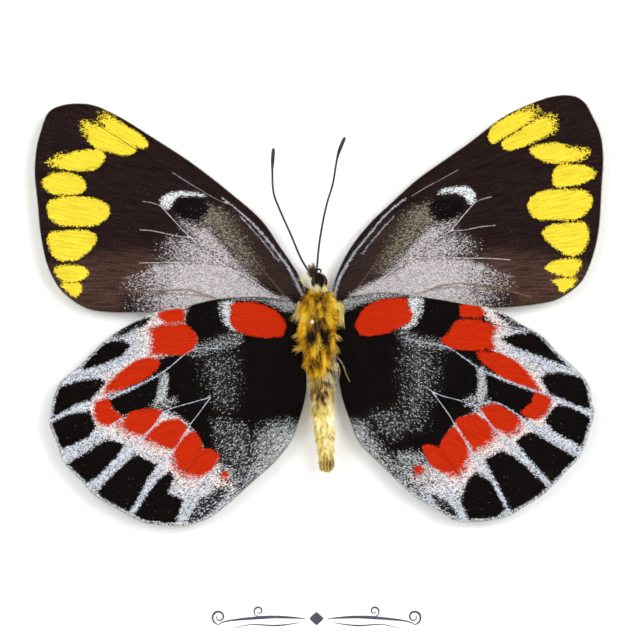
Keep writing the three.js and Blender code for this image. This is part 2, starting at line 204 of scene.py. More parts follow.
def mottle(finish, scale, detail, stretch=(1, 1, 1), where=None, distortion=0.0):
    """Cloudy noise in the piece's own coordinates or in those of an attribute."""
    where = where or finish.add("ShaderNodeTexCoord")["Object"]
    inputs = {"Place": where, "Stretch": stretch, "Scale": scale, "Detail": detail, "Distortion": distortion}
    return finish.add("ShaderNodeGroup", inputs, node_tree=mottling.tree)["Mottle"]


# The card's faint white emission is a painted glow that lightens the shadows falling on it and on the spacers
# cut from it.
white_card = Finish("white_card", Roughness=0.75, Emission_Strength=0.1)
card_cloud = mottle(white_card, 40.0, 2.0)
white_card.feed("Base Color", blend(white_card, card_cloud, shade((252, 252, 251)), shade((248, 249, 248))))
bump(white_card, mottle(white_card, 2200.0, 4.0), 0.08, 0.00005)

# Wings
# Four thin membranes covered in scales on both faces, stiffened by raised veins that fan out from the
# root. The hindwings lie over the forewings. Their colours are zones of differently coloured scales.
FOREWING_ROOT_Y = 3.9
HINDWING_ROOT_Y = 3.2
FOREWING_RISE = 0.8
HINDWING_RISE = 0.7
FOREWING_REACH = 33.0
HINDWING_REACH = 31.0
INNER_FOLD = 0.7
WING_THICK = 0.06
VEIN_RELIEF = 0.05
POINT_SPACING = 1.75
ROW_SPACING = 0.866 * POINT_SPACING
RIM_SPACING = 1.3
RIM_CLEARANCE = 0.9
VEIN_CLEARANCE = 0.8
BODY_PX = 318
MIRROR_PX = 637
MARGIN_TOP_PX = 320
FAR_PX = 24.0
FOREWING_LEFT_PX = [
    (305, 295), (299, 276), (278, 244), (260, 219), (229, 192), (190, 162), (150, 136), (121, 118), (98, 107),
    (80, 104), (62, 106), (49, 113), (42, 130), (37, 150), (35.5, 175), (38, 200), (41, 232), (47, 262),
    (57, 284), (70, 298), (88, 308.5), (110, 312), (150, 312), (200, 311), (250, 308), (294, 303),
    (303.5, 306),
]
FOREWING_RIGHT_PX = [
    (332, 294), (337, 275), (350, 249), (370, 223.5), (390, 204.5), (417, 180), (445, 160), (470, 142.5),
    (500, 119.5), (525, 106.5), (550, 97.5), (570, 96), (583, 102), (592, 117), (600, 136), (602.5, 160),
    (601, 186), (599.5, 215), (597, 237), (591, 260), (582, 280), (568, 293), (552, 301), (525, 305.5),
    (492, 308), (450, 309), (400, 307), (343, 303), (333.5, 305),
]
HINDWING_LEFT_PX = [
    (303, 307), (296, 303.5), (285, 300.5), (262, 297.5), (235, 297.5), (210, 300.5), (180, 308), (156, 312),
    (139, 320), (119, 331), (104, 342), (91, 354.5), (79.5, 366.5), (63, 380.5), (56, 393), (51.5, 412),
    (50.5, 424), (58, 444), (65, 462), (81, 479), (97, 496), (120, 509.5), (144, 521.5), (170, 525),
    (191, 524), (211, 516), (232, 500), (255, 479), (274, 462), (291, 440), (302, 410), (306.5, 385),
    (305, 352), (304, 330),
]
HINDWING_RIGHT_PX = [
    (333, 307), (341, 301.5), (352, 296.5), (385, 293), (415, 296), (445, 300.5), (470, 305), (495, 309.5),
    (520, 324), (541, 336), (557, 353), (575, 369), (587, 384), (591, 402), (593, 414), (588, 432),
    (580, 455), (567, 469), (556, 481), (541, 495), (522, 507), (503, 517), (475, 521), (455, 520),
    (437, 509), (412, 494), (395, 478), (380, 463), (360, 443), (350, 420), (342, 396), (337.5, 370),
    (335.5, 347), (333, 328),
]

# Veins and streaks: colour, half-width in pixels at the start and end, strength, then the route
LILAC = (216, 204, 210)
BLUE_WHITE = (196, 204, 222)
COSTAL_GREY = (180, 182, 196)
OCHRE = (112, 86, 68)
INK_BROWN = (20, 12, 12)
DUSTED_LINES = (BLUE_WHITE, COSTAL_GREY)
LINE_REACH = 12.0
VEIN_HALF = 0.34
OCHRE_HALF = 0.9
FOREWING_LEFT_LINES = [
    (LILAC, 1.2, 0.9, 0.9, [(284, 303), (263, 288), (244, 275), (229, 268), (210, 254), (187, 234),
     (170, 216), (161, 206)]),
    (LILAC, 0.8, 0.5, 0.6, [(161, 206), (152, 203), (143, 201.5)]),
    (LILAC, 0.9, 0.5, 0.65, [(190, 238), (172, 235), (153, 231), (140, 230)]),
    (LILAC, 0.9, 0.4, 0.7, [(220, 262), (195, 262), (173, 262.5), (140, 263)]),
    (COSTAL_GREY, 1.7, 0.5, 0.8, [(303, 296), (297, 284), (288, 267), (279, 255), (265, 237), (251, 222),
     (235, 208), (222, 198)]),
    (COSTAL_GREY, 0.4, 0.3, 0.4, [(279, 262), (265, 244), (250, 227), (240, 216)]),
    (LILAC, 0.6, 0.5, 0.4, [(228, 204), (218, 200), (197, 188), (173, 173)]),
    (OCHRE, 1.0, 0.5, 0.45, [(284, 295), (268, 276), (252, 256)]),
    (OCHRE, 1.0, 0.8, 0.75, [(215, 298), (200, 293), (184, 290), (158, 291), (130, 292)]),
    (OCHRE, 0.8, 0.6, 0.5, [(225, 300), (200, 296), (180, 294), (150, 294)]),
    (INK_BROWN, 0.5, 0.4, 0.75, [(38, 196), (60, 196), (90, 196), (138, 201)]),
    (INK_BROWN, 0.5, 0.4, 0.75, [(42, 229.5), (60, 229.5), (90, 229.5), (136, 230)]),
    (INK_BROWN, 0.5, 0.4, 0.75, [(48, 262), (70, 262.5), (90, 262), (136, 263)]),
    (INK_BROWN, 0.5, 0.4, 0.75, [(60, 283), (72, 282.5), (90, 282)]),
    (INK_BROWN, 0.5, 0.4, 0.75, [(40, 173), (75, 171), (115, 164), (150, 170), (195, 190)]),
    (INK_BROWN, 0.5, 0.4, 0.75, [(45, 150), (80, 147), (120, 155), (158, 172)]),
    (INK_BROWN, 0.8, 0.6, 1.8, [(84, 117), (98, 125.5), (112, 134), (124, 141.5), (138, 151), (158, 165)]),
]
FOREWING_RIGHT_LINES = [
    (LILAC, 1.2, 0.9, 0.9, [(350, 299), (362, 293), (380, 280.5), (400, 266), (416, 258), (433, 243),
     (450, 231), (462, 217), (475, 202)]),
    (LILAC, 0.8, 0.5, 0.6, [(475, 202), (483, 199), (491, 197)]),
    (LILAC, 0.9, 0.5, 0.65, [(450, 231), (465, 230), (480, 227), (495, 225.5)]),
    (LILAC, 0.9, 0.4, 0.7, [(416, 258), (440, 257), (465, 258), (490, 258.5), (510, 260)]),
    (COSTAL_GREY, 1.7, 0.5, 0.8, [(334, 298), (338, 282), (346, 266), (355, 252), (368, 236), (380, 221),
     (392, 209), (405, 199)]),
    (COSTAL_GREY, 0.4, 0.3, 0.4, [(362, 254), (372, 241), (384, 227), (394, 216)]),
    (LILAC, 0.6, 0.5, 0.4, [(412, 196), (425, 188), (440, 180), (458, 170)]),
    (OCHRE, 1.0, 0.5, 0.45, [(355, 292), (370, 271), (384, 253)]),
    (OCHRE, 1.0, 0.8, 0.75, [(425, 292), (440, 286), (460, 283.5), (480, 286), (505, 290), (530, 297)]),
    (OCHRE, 0.8, 0.6, 0.5, [(415, 294), (440, 288.5), (462, 287.5), (490, 291)]),
    (INK_BROWN, 0.5, 0.4, 0.75, [(600, 188), (570, 188), (540, 190), (496, 197)]),
    (INK_BROWN, 0.5, 0.4, 0.75, [(599, 222), (570, 222), (540, 223), (500, 226)]),
    (INK_BROWN, 0.5, 0.4, 0.75, [(591, 257), (570, 257), (540, 259), (514, 260)]),
    (INK_BROWN, 0.5, 0.4, 0.75, [(580, 278), (565, 278), (548, 277)]),
    (INK_BROWN, 0.5, 0.4, 0.75, [(601, 165), (575, 163), (535, 160), (490, 170), (470, 186)]),
    (INK_BROWN, 0.5, 0.4, 0.75, [(598, 145), (560, 139), (525, 148), (478, 168)]),
    (INK_BROWN, 0.8, 0.6, 1.4, [(556, 108), (540, 117), (522, 128), (500, 141.5), (478, 158)]),
]
HINDWING_LEFT_LINES = [
    (BLUE_WHITE, 0.7, 2.4, 0.85, [(211, 397), (190, 403), (170, 409), (160, 417), (146, 436), (125, 455),
     (95, 484)]),
    (BLUE_WHITE, 0.6, 2.2, 0.85, [(211, 397), (200, 412), (188, 428), (174, 452), (155, 475), (140, 502),
     (134, 511)]),
    (BLUE_WHITE, 0.9, 2.4, 0.85, [(222, 349), (200, 348), (187, 353), (165, 371), (145, 382), (112, 397),
     (85, 405), (52, 420)]),
    (BLUE_WHITE, 1.6, 2.4, 0.8, [(122, 418), (100, 433), (85, 442), (64, 457)]),
    (BLUE_WHITE, 0.8, 2.0, 0.75, [(150, 357), (125, 363), (95, 373), (64, 384)]),
    (BLUE_WHITE, 1.6, 2.0, 0.8, [(218, 458), (210, 473), (200, 488), (186, 514)]),
    (INK_BROWN, 0.5, 0.6, 0.8, [(217, 460), (209, 474), (199, 489), (184, 516)]),
    (INK_BROWN, 0.5, 0.5, 0.8, [(185, 322), (170, 324), (155, 328), (125, 336), (110, 340)]),
    (INK_BROWN, 0.6, 0.5, 0.8, [(204, 451), (196, 460), (186, 471), (176, 482)]),
]
HINDWING_RIGHT_LINES = [
    (BLUE_WHITE, 0.7, 2.4, 0.85, [(425, 387), (440, 395), (460, 400.5), (477, 407), (487, 420), (500, 435),
     (520, 453), (537, 470), (549, 484)]),
    (BLUE_WHITE, 0.6, 2.2, 0.85, [(432, 392), (447, 412), (456, 427), (467, 445), (480, 462), (493, 483),
     (509, 512)]),
    (BLUE_WHITE, 0.9, 2.4, 0.85, [(405, 338), (425, 343), (447, 347), (460, 355), (480, 369), (500, 378),
     (530, 389), (560, 400), (590, 415)]),
    (BLUE_WHITE, 0.9, 2.6, 0.8, [(475, 405), (495, 402), (515, 413), (532, 426), (557, 439), (577, 451)]),
    (BLUE_WHITE, 0.8, 2.0, 0.75, [(491, 350), (515, 355), (545, 364), (580, 376)]),
    (BLUE_WHITE, 1.6, 2.0, 0.8, [(420, 452), (430, 464), (448, 487), (463, 517)]),
    (INK_BROWN, 0.5, 0.6, 0.8, [(422, 455), (432, 467), (449, 489), (462, 515)]),
    (INK_BROWN, 0.5, 0.5, 0.8, [(460, 318), (480, 320), (500, 326), (525, 331)]),
    (INK_BROWN, 0.6, 0.5, 0.8, [(440, 450), (450, 462), (462, 478)]),
]

# Patches of bright scales, and how far the outer side of each breaks up into single scales
YELLOW = (240, 213, 57)
RED = (189, 40, 8)
YELLOW_FUZZ = (0.8, 0.78, 0.7, 0.3)
RED_FUZZ = (0.3, 0.55, 0.68, 0.55, 0.5, 0.75)
PATCH_SPREAD = 0.2
YELLOW_LEFT = [
    [(101, 116), (107, 116), (114, 119), (128, 127), (142, 136), (149, 145), (142, 149), (128, 141),
     (107, 129)],
    [(84, 124), (92, 125), (105, 128), (122, 136), (137, 149), (126, 155.5), (110, 152.5), (98, 149),
     (89, 140)],
    [(49, 162), (65, 155), (90, 150), (104, 153), (104, 161), (96, 169), (80, 171), (64, 169)],
    [(43, 183), (51, 174.5), (70, 173), (83, 179), (86, 188), (77, 194.5), (55, 194), (46, 189)],
    [(48, 210), (51, 201), (65, 197.5), (90, 198), (106, 204), (110, 213), (103, 222), (90, 226), (62, 225.5),
     (51, 218)],
    [(50, 234), (66, 231), (90, 231.5), (97, 240), (84, 256), (72, 260.5), (57, 259), (50, 247)],
    [(55, 269), (69, 265.5), (84, 267), (89, 273), (80, 281), (64, 281)],
    [(62, 284), (77, 283), (83, 287), (77, 297), (69, 293)],
]
YELLOW_RIGHT = [
    [(488, 134), (497, 123), (513, 114), (528, 109), (536, 110), (534, 118), (522, 127), (505, 137),
     (492, 143.5)],
    [(501, 143), (515, 133), (528, 126), (540, 118), (553, 119), (552, 132), (540, 139), (525, 146),
     (508, 150.5)],
    [(529, 149), (545, 144), (556, 143), (571, 148), (588, 151), (580, 160), (565, 162.5), (548, 163),
     (537, 158)],
    [(553, 172), (560, 166), (577, 165), (590, 168.5), (596, 174), (588, 180.5), (575, 185.5), (555, 186.5)],
    [(528, 204), (533, 196), (545, 190.5), (566, 190), (585, 191), (592, 202), (586, 212), (576, 218.5),
     (552, 220), (536, 219), (529, 211)],
    [(542, 235), (549, 226), (566, 223.5), (584, 223.5), (588, 236), (581, 253), (566, 255), (553, 246)],
    [(545, 268), (553, 262), (568, 259), (580, 261), (579, 269), (572, 276), (556, 274)],
    [(551, 280), (566, 278.5), (576, 279), (570, 288), (561, 293), (557, 285)],
]
RED_LEFT = [
    [(230, 318), (232, 312), (229, 306), (236, 303), (252, 302), (266, 306), (276, 311), (284, 320),
     (286, 327), (283, 336), (266, 337.5), (250, 335.5), (240, 332), (231, 325)],
    [(160, 312), (168, 309.5), (177, 308), (184, 311), (185, 321), (168, 323.5), (158, 317)],
    [(151, 328), (162, 325.5), (184, 324), (191, 328), (196, 334), (198, 340), (193, 350), (186, 354.5),
     (151, 355), (153, 342)],
    [(161, 363), (158, 359), (147, 357), (137, 360), (123, 370), (107.5, 385), (104, 394), (126, 388),
     (144, 380), (158, 369)],
    [(96, 401), (103, 399), (110, 397.5), (112.5, 408.5), (123, 416), (119, 420), (108.5, 425.5), (100, 423),
     (95, 416)],
    [(143, 408.5), (154, 408.5), (162.5, 411), (156.5, 423), (144, 435), (134, 434), (119, 425), (131, 412)],
    [(163, 421), (170, 419.5), (179, 418.5), (188.5, 427), (179.5, 440.5), (173, 449), (162, 446), (146, 440),
     (147, 433), (155, 428)],
    [(190, 432), (195, 431), (201, 439), (203, 449), (211, 449), (219.5, 454), (219, 460), (212, 469),
     (200, 476), (186, 475), (176, 468), (173, 456), (176, 447), (184, 438)],
    [(221, 474), (226, 470), (229, 474), (225, 478)],
]
RED_RIGHT = [
    [(358, 319), (361, 312), (366, 307), (372, 303), (380, 300), (400, 298), (408, 299), (408, 307),
     (413, 315), (410, 322), (400, 327), (388, 333), (370, 335.5), (360, 335), (355, 325)],
    [(459.5, 305), (465, 303.5), (480, 306), (485, 314), (478, 317.5), (460, 317)],
    [(440, 340.5), (447, 334), (455, 322), (460, 319.5), (480, 320.5), (497, 326), (492, 335), (493, 349.5),
     (470, 350), (451, 348.5)],
    [(475, 353), (485, 352), (500, 353), (517, 362), (531, 377), (540, 391), (520, 385), (500, 376),
     (484, 364)],
    [(534, 391.5), (547, 395.5), (551, 401), (545, 414), (535, 420), (523, 415), (520, 411), (531, 403)],
    [(479.5, 409), (487, 405), (495, 403), (508, 410), (520, 419), (518, 432), (507, 434), (493, 427),
     (486, 417)],
    [(455, 419.5), (460, 417), (475, 413), (486, 421), (496, 434), (488, 444), (474, 450), (465, 438),
     (457, 426)],
    [(421.5, 446), (427, 444), (439, 447), (441, 441), (449, 430), (454.5, 426.5), (463.5, 438), (469, 452),
     (464, 469), (456, 475), (442, 472), (430, 465)],
    [(413, 468), (420, 465), (424, 470), (416, 474)],
]

# Pale-scaled zones: density of pale scales, softness of the edge in pixels, colour, the outline, and for
# some the places between which the zone fades away
DUST_LILAC = (194, 186, 189)
DUST_GREY = (190, 192, 194)
DUST_OLIVE = (146, 136, 120)
DUST_WHITE = (232, 236, 238)
STRAY_DUST = 0.006
FOREWING_LEFT_DUST = [
    (0.52, 18, DUST_OLIVE, [(190, 206), (214, 206), (236, 218), (256, 250), (264, 272), (248, 272),
     (226, 246), (200, 222)], (225, 240), (256, 224)),
    (0.8, 12, DUST_LILAC, [(172, 213), (196, 222), (210, 229), (226, 248), (244, 268), (256, 283), (228, 267),
     (205, 250), (186, 232)], (205, 240), (170, 205)),
    (0.78, 9, DUST_LILAC, [(138, 258), (153, 243), (172, 236), (190, 240), (205, 250), (222, 262), (195, 262),
     (165, 262)], (205, 252), (142, 246)),
    (0.94, 9, DUST_LILAC, [(100, 290), (140, 272), (158, 264), (220, 263), (248, 279), (272, 294), (290, 303),
     (250, 314), (200, 316), (140, 318), (104, 306)], (190, 275), (110, 292)),
    (0.84, 4, DUST_WHITE, [(160, 203), (164, 196), (175, 192), (192, 192), (208, 196), (192, 196), (178, 197),
     (173, 203), (168, 210)]),
]
FOREWING_RIGHT_DUST = [
    (0.52, 18, DUST_OLIVE, [(446, 204), (422, 204), (400, 216), (382, 248), (373, 270), (390, 272),
     (412, 244), (436, 220)], (411, 238), (380, 222)),
    (0.8, 12, DUST_LILAC, [(464, 211), (440, 220), (427, 227), (410, 246), (392, 266), (380, 281), (416, 258),
     (436, 241), (452, 230)], (432, 238), (468, 203)),
    (0.78, 9, DUST_LILAC, [(418, 256), (437, 242), (452, 233), (470, 236), (486, 243), (499, 256), (478, 257),
     (455, 257)], (432, 250), (496, 243)),
    (0.94, 9, DUST_LILAC, [(416, 259), (460, 259), (485, 265), (508, 274), (530, 288), (530, 302), (500, 308),
     (470, 312), (430, 312), (380, 305), (350, 296), (385, 277), (402, 266)], (448, 272), (526, 292)),
    (0.84, 4, DUST_WHITE, [(438, 194), (445, 188.5), (455, 187.5), (466, 187), (474.5, 193), (474, 203),
     (468, 203), (464, 196), (455, 193), (447, 193)]),
]
HINDWING_LEFT_DUST = [
    (0.5, 6, DUST_GREY, [(220, 298), (250, 298), (300, 302), (300, 309), (285, 311), (262, 301), (240, 300)]),
    (0.4, 14, DUST_GREY, [(188, 352), (202, 344), (224, 336), (240, 332), (238, 344), (214, 351),
     (198, 356)]),
    (0.24, 40, DUST_GREY, [(207, 362), (230, 354), (234, 380), (229, 408), (218, 402), (210, 386)]),
    (0.7, 22, DUST_GREY, [(250, 440), (268, 424), (298, 426), (298, 446), (262, 482), (236, 482), (250, 460)],
     (284, 458), (224, 430)),
    (0.22, 18, DUST_GREY, [(214, 420), (244, 424), (252, 450), (240, 476), (222, 466)]),
    (0.8, 6, DUST_WHITE, [(219, 303), (234, 303), (231, 318), (236, 330), (226, 326), (219, 314)], (232, 312),
     (212, 317)),
    (0.8, 5, DUST_GREY, [(163, 371), (168, 373), (167, 393), (160, 404), (156, 402), (159, 387), (161, 378)]),
    (0.5, 8, DUST_GREY, [(150, 405), (160, 399), (176, 397), (178, 401), (166, 408), (152, 410)]),
]
HINDWING_RIGHT_DUST = [
    (0.5, 6, DUST_GREY, [(338, 302), (352, 296), (385, 292), (412, 296), (385, 298), (362, 304), (345, 310)]),
    (0.4, 14, DUST_GREY, [(400, 330), (420, 337), (446, 343), (450, 350), (430, 349), (404, 343)]),
    (0.3, 44, DUST_GREY, [(408, 352), (428, 352), (432, 376), (424, 398), (416, 424), (404, 416),
     (408, 390)]),
    (0.7, 22, DUST_GREY, [(346, 426), (364, 424), (380, 444), (404, 474), (396, 488), (376, 470), (352, 448)],
     (358, 452), (412, 430)),
    (0.2, 20, DUST_GREY, [(372, 412), (400, 410), (412, 424), (402, 436), (386, 438), (374, 425)]),
    (0.5, 12, DUST_GREY, [(398, 454), (422, 454), (430, 474), (420, 490), (398, 480)]),
    (0.8, 6, DUST_WHITE, [(408, 299), (422, 299), (423, 312), (414, 326), (402, 330), (411, 318)], (410, 313),
     (430, 318)),
    (0.8, 5, DUST_GREY, [(477, 369), (483, 368), (486, 384), (485, 398), (479, 404), (475, 399), (478, 384)]),
    (0.5, 8, DUST_GREY, [(464, 398), (476, 396), (489, 400), (489, 407), (476, 408), (464, 404)]),
]

# The hindwing's pale outer zone with its fading ends, and the dark windows in it with their strengths
PALE_LEFT = (
    [(183, 300), (100, 320), (30, 400), (60, 500), (180, 540), (262, 490), (240, 470), (221, 462), (203, 447),
     (188, 424), (170, 412), (145, 410), (122, 416), (108, 398), (125, 388), (160, 358), (192, 352),
     (197, 339), (185, 322)],
    (196, 480),
    (268, 462),
)
PALE_RIGHT = (
    [(482, 300), (560, 330), (610, 400), (590, 500), (480, 540), (385, 488), (410, 470), (424, 462),
     (442, 448), (455, 424), (480, 409), (497, 404), (520, 418), (540, 414), (549, 401), (535, 389),
     (517, 366), (495, 351), (490, 337), (495, 327), (484, 316)],
    (448, 482),
    (380, 468),
)
WINDOWS_LEFT = [
    (0.95, [(110, 338), (120, 329), (132, 322.5), (152, 316), (146, 325), (134, 330), (122, 336)]),
    (1.0, [(82, 364), (94, 350), (106, 342), (122, 340), (132, 345), (122, 356), (104, 364), (84, 370)]),
    (1.0, [(60, 386), (80, 380.5), (102, 378), (106, 383), (91, 400), (75, 405), (54, 417.5), (50, 405)]),
    (1.0, [(50, 424), (68, 414), (91, 411), (97, 427), (88, 438), (63, 449), (52, 436)]),
    (1.0, [(66, 464), (90, 450), (107, 439), (125.5, 443.5), (117, 457), (95, 479), (80, 486)]),
    (1.0, [(98, 491), (114, 473), (137, 453.5), (158, 464.5), (147, 480), (138, 500), (128, 512),
     (110, 508)]),
    (1.0, [(135, 514), (149, 492), (160, 478), (170, 471), (175, 478), (168, 492), (184, 499.5), (176, 522),
     (150, 524)]),
    (0.75, [(187, 520), (201, 498), (222, 486), (229, 492), (213, 511), (195, 524)]),
]
WINDOWS_RIGHT = [
    (0.8, [(494, 313), (501, 313), (513, 319), (530, 331), (509, 326)]),
    (1.0, [(500, 339), (513, 334), (533, 332), (549, 340), (562, 355), (566, 366), (538, 356), (514, 347)]),
    (1.0, [(540, 378), (546, 373), (561, 372.5), (580, 377), (592, 391), (594, 410), (570, 404.5),
     (548, 392)]),
    (1.0, [(551, 409), (558, 404), (573, 408), (594, 420), (590, 441), (580, 446), (554, 432), (544, 421)]),
    (1.0, [(514.5, 441), (525, 433), (533, 431.5), (551, 443), (576, 457), (566, 473), (553, 485),
     (530, 460)]),
    (1.0, [(484, 459), (500, 450.5), (514, 456), (539, 478), (548, 488), (534, 502), (510, 512), (502, 493),
     (493, 476)]),
    (1.0, [(468, 478), (475, 472), (490, 481), (507, 507), (492, 521), (470, 522), (460, 502), (462, 493)]),
    (0.8, [(430, 493), (447, 500), (458, 514), (456, 518), (441, 512)]),
]


def smoothstep(value):
    t = np.clip(value, 0, 1)
    return t * t * (3 - 2 * t)


def through(points, closed, step):
    """A smooth line through given points, with a point about every step."""
    p = np.asarray(points, dtype=float)
    count = len(p)
    made = []
    for i in range(count if closed else count - 1):
        pick = [(i + k) % count if closed else min(max(i + k, 0), count - 1) for k in (-1, 0, 1, 2)]
        a, b, c, d = p[pick]
        pieces = max(1, int(np.linalg.norm(c - b) / step))
        for t in np.arange(pieces) / pieces:
            made.append(0.5 * (2 * b + (c - a) * t + (2 * a - 5 * b + 4 * c - d) * t ** 2
                               + (3 * b - a - 3 * c + d) * t ** 3))
    if not closed:
        made.append(p[-1])
    return np.array(made)


def near_line(points, line, limit=FAR_PX):
    """Distance of each point to a line up to the limit, and how far along the line the nearest place is."""
    best = np.full(len(points), limit)
    share = np.zeros(len(points))
    low, high = line.min(0) - limit, line.max(0) + limit
    close = np.flatnonzero(((points > low) & (points < high)).all(1))
    part, part_best, part_share = points[close], best[close], share[close]
    for i, (a, b) in enumerate(zip(line, line[1:])):
        ab = b - a
        t = np.clip((part - a) @ ab / (ab @ ab), 0, 1)
        gap = np.linalg.norm(part - a - t[:, None] * ab, axis=1)
        better = gap < part_best
        part_best[better] = gap[better]
        part_share[better] = (i + t[better]) / (len(line) - 1)
    best[close], share[close] = part_best, part_share
    return best, share


def within(points, ring):
    odd = np.zeros(len(points), dtype=bool)
    for a, b in zip(ring, np.roll(ring, -1, axis=0)):
        crosses = (a[1] > points[:, 1]) != (b[1] > points[:, 1])
        rise = np.where(b[1] == a[1], 1e-9, b[1] - a[1])
        at = a[0] + (points[:, 1] - a[1]) * (b[0] - a[0]) / rise
        odd ^= crosses & (points[:, 0] < at)
    return odd


def depth_in(points, outline, rounded=True):
    """How far inside an outline each point lies, in pixels; below zero outside."""
    ring = through(outline, True, 3.0) if rounded else np.array(outline, dtype=float)
    gap, _ = near_line(points, np.vstack([ring, ring[:1]]))
    return np.where(within(points, ring), gap, -gap)


def columns(*parts):
    """Arrays and single numbers side by side as the columns of one array."""
    return np.stack(np.broadcast_arrays(*parts), axis=-1)


def place(points, y):
    """Turns view pixels into metres in the frame, at the given y in millimetres."""
    points = np.asarray(points, dtype=float)
    x = (points[:, 0] - VIEW_CENTRE_PX) * MM_PER_PX
    z = VIEW_CENTRE_Z - (points[:, 1] - VIEW_CENTRE_PX) * MM_PER_PX
    return columns(x, y, z) * MM


def forewing_y(dx, dz):
    return FOREWING_ROOT_Y - FOREWING_RISE * np.hypot(dx, dz) / FOREWING_REACH


def hindwing_y(dx, dz):
    angle = np.arctan2(-dz, np.abs(dx))
    fold = smoothstep((angle - 1.1) / 0.5)
    reach = np.minimum(1, np.hypot(dx, dz) / HINDWING_REACH)
    return HINDWING_ROOT_Y - HINDWING_RISE * reach + INNER_FOLD * fold * np.sin(np.pi * reach)


def from_root(points, root_px):
    """How far view pixels lie to the right of the wing's root and above it, in millimetres."""
    root = place([root_px], 0.0)[0] / MM
    spots = place(points, 0.0) / MM
    return spots[:, 0] - root[0], spots[:, 2] - root[2]


class Paint:
    """The colour layers of one wing, worked out at every point of its mesh."""

    def __init__(self, points, ground, patch):
        count = len(points)
        self.points = points
        self.ground, self.dust, self.patch_colour, self.line_colour = (
            np.tile(linear(colour), (count, 1)) for colour in (ground, DUST_LILAC, patch, LILAC)
        )
        self.density = np.zeros(count)
        self.patch = np.full(count, -FAR_PX)
        self.line_gap = np.full(count, FAR_PX)
        self.line_half = np.ones(count)
        self.line_strength = np.zeros(count)

    def tint(self, layer, mask, colour):
        layer += mask[:, None] * (linear(colour) - layer)

    def zone(self, outline, softness, rounded=True):
        return smoothstep(depth_in(self.points, outline, rounded) / softness + 0.5)

    def fade(self, full, none):
        """One at and before the first place, falling to zero at the second."""
        full = np.array(full, dtype=float)
        way = np.array(none, dtype=float) - full
        return 1 - smoothstep((self.points - full) @ way / (way @ way))

    def dust_over(self, fresh, colour):
        self.tint(self.dust, fresh / (fresh + self.density + 1e-6), colour)
        self.density = np.maximum(self.density, fresh)

    def add_dust(self, rows):
        for density, softness, colour, outline, *ends in rows:
            fresh = self.zone(outline, softness) * density
            self.dust_over(fresh * self.fade(*ends) if ends else fresh, colour)

    def add_patches(self, outlines, rounded, root, fuzz):
        """Adds patches whose sides away from the wing root break up into single scales."""
        for i, outline in enumerate(outlines):
            middle = np.mean(outline, axis=0)
            way = (middle - root) / np.linalg.norm(middle - root)
            outward = (self.points - middle) @ way / ((np.array(outline) - middle) @ way).max()
            crisp = 1 - fuzz[min(i, len(fuzz) - 1)] * smoothstep(outward * 1.2)
            depth = depth_in(self.points, outline, rounded) + PATCH_SPREAD
            self.patch = np.maximum(self.patch, depth * crisp)

    def add_lines(self, rows):
        """Adds veins: a thin core for each, and pale dust beside the ones that carry it."""
        for colour, start, end, strength, route in rows:
            gap, share = near_line(self.points, through(route, False, 2.0), LINE_REACH)
            half = start + (end - start) * share
            gap = np.where(gap < LINE_REACH - 0.1, gap, FAR_PX)
            nearest = gap < self.line_gap
            self.tint(self.line_colour, nearest * 1.0, colour)
            widest = OCHRE_HALF if colour == OCHRE else VEIN_HALF
            self.line_gap = np.where(nearest, gap, self.line_gap)
            self.line_half = np.where(nearest, np.minimum(half, widest), self.line_half)
            self.line_strength = np.where(nearest, strength, self.line_strength)
            if colour in DUSTED_LINES:
                reveal = smoothstep((share - 0.2) / 0.35) if colour == BLUE_WHITE else 1
                self.dust_over(np.clip(1.4 - gap / half, 0, 1) * 0.95 * strength * reveal, colour)


def paint_forewing(points, lines, yellow, dust, mirror):
    def flip(outline):
        return [(mirror - x, y) for x, y in outline] if mirror else outline

    paint = Paint(points, (36, 23, 22), YELLOW)
    tornus = flip([(50, 268), (130, 252), (165, 262), (150, 280), (125, 300), (112, 316), (50, 310)])
    paint.tint(paint.ground, 0.8 * paint.zone(tornus, 24), (78, 56, 47))
    base = flip([(300, 290), (262, 232), (222, 210), (210, 240), (260, 284)])
    paint.tint(paint.ground, 0.8 * paint.zone(base, 14), (54, 41, 36))
    spot = flip([(176, 200), (200, 199), (208, 207), (205, 216), (190, 220), (175, 211)])
    paint.tint(paint.ground, paint.zone(spot, 4), (14, 10, 14))
    paint.add_dust(dust)
    paint.density = np.maximum(paint.density * (1 - 0.9 * paint.zone(spot, 4)), STRAY_DUST)
    patch_root = flip([(304, 300)])[0]
    paint.add_patches(yellow, True, patch_root, YELLOW_FUZZ)
    paint.add_lines(lines)
    return paint


def paint_hindwing(points, lines, rim, red, pale, windows, dust):
    paint = Paint(points, (12, 7, 6), RED)
    paint.add_patches(red, False, rim[0], RED_FUZZ)
    paint.add_dust([(0.86, 7, (176, 187, 201), *pale)])
    for reach, colour in ((8.0, (232, 233, 236)), (3.0, (246, 214, 204))):
        paint.tint(paint.dust, 0.8 * np.exp(-np.clip(-paint.patch, 0, 30) / reach), colour)
    for strength, window in windows:
        paint.density *= 1 - 0.99 * strength * paint.zone(window, 4.0, rounded=False)
    edge = smoothstep((3.6 - depth_in(points, rim)) / 2.4) * smoothstep((points[:, 1] - MARGIN_TOP_PX) / 30)
    edge *= smoothstep((np.abs(points[:, 0] - BODY_PX) - 40) / 50)
    paint.density = np.maximum(paint.density, 0.8 * edge)
    paint.add_dust(dust)
    paint.density = np.maximum(paint.density, STRAY_DUST)
    paint.add_lines(lines)
    return paint


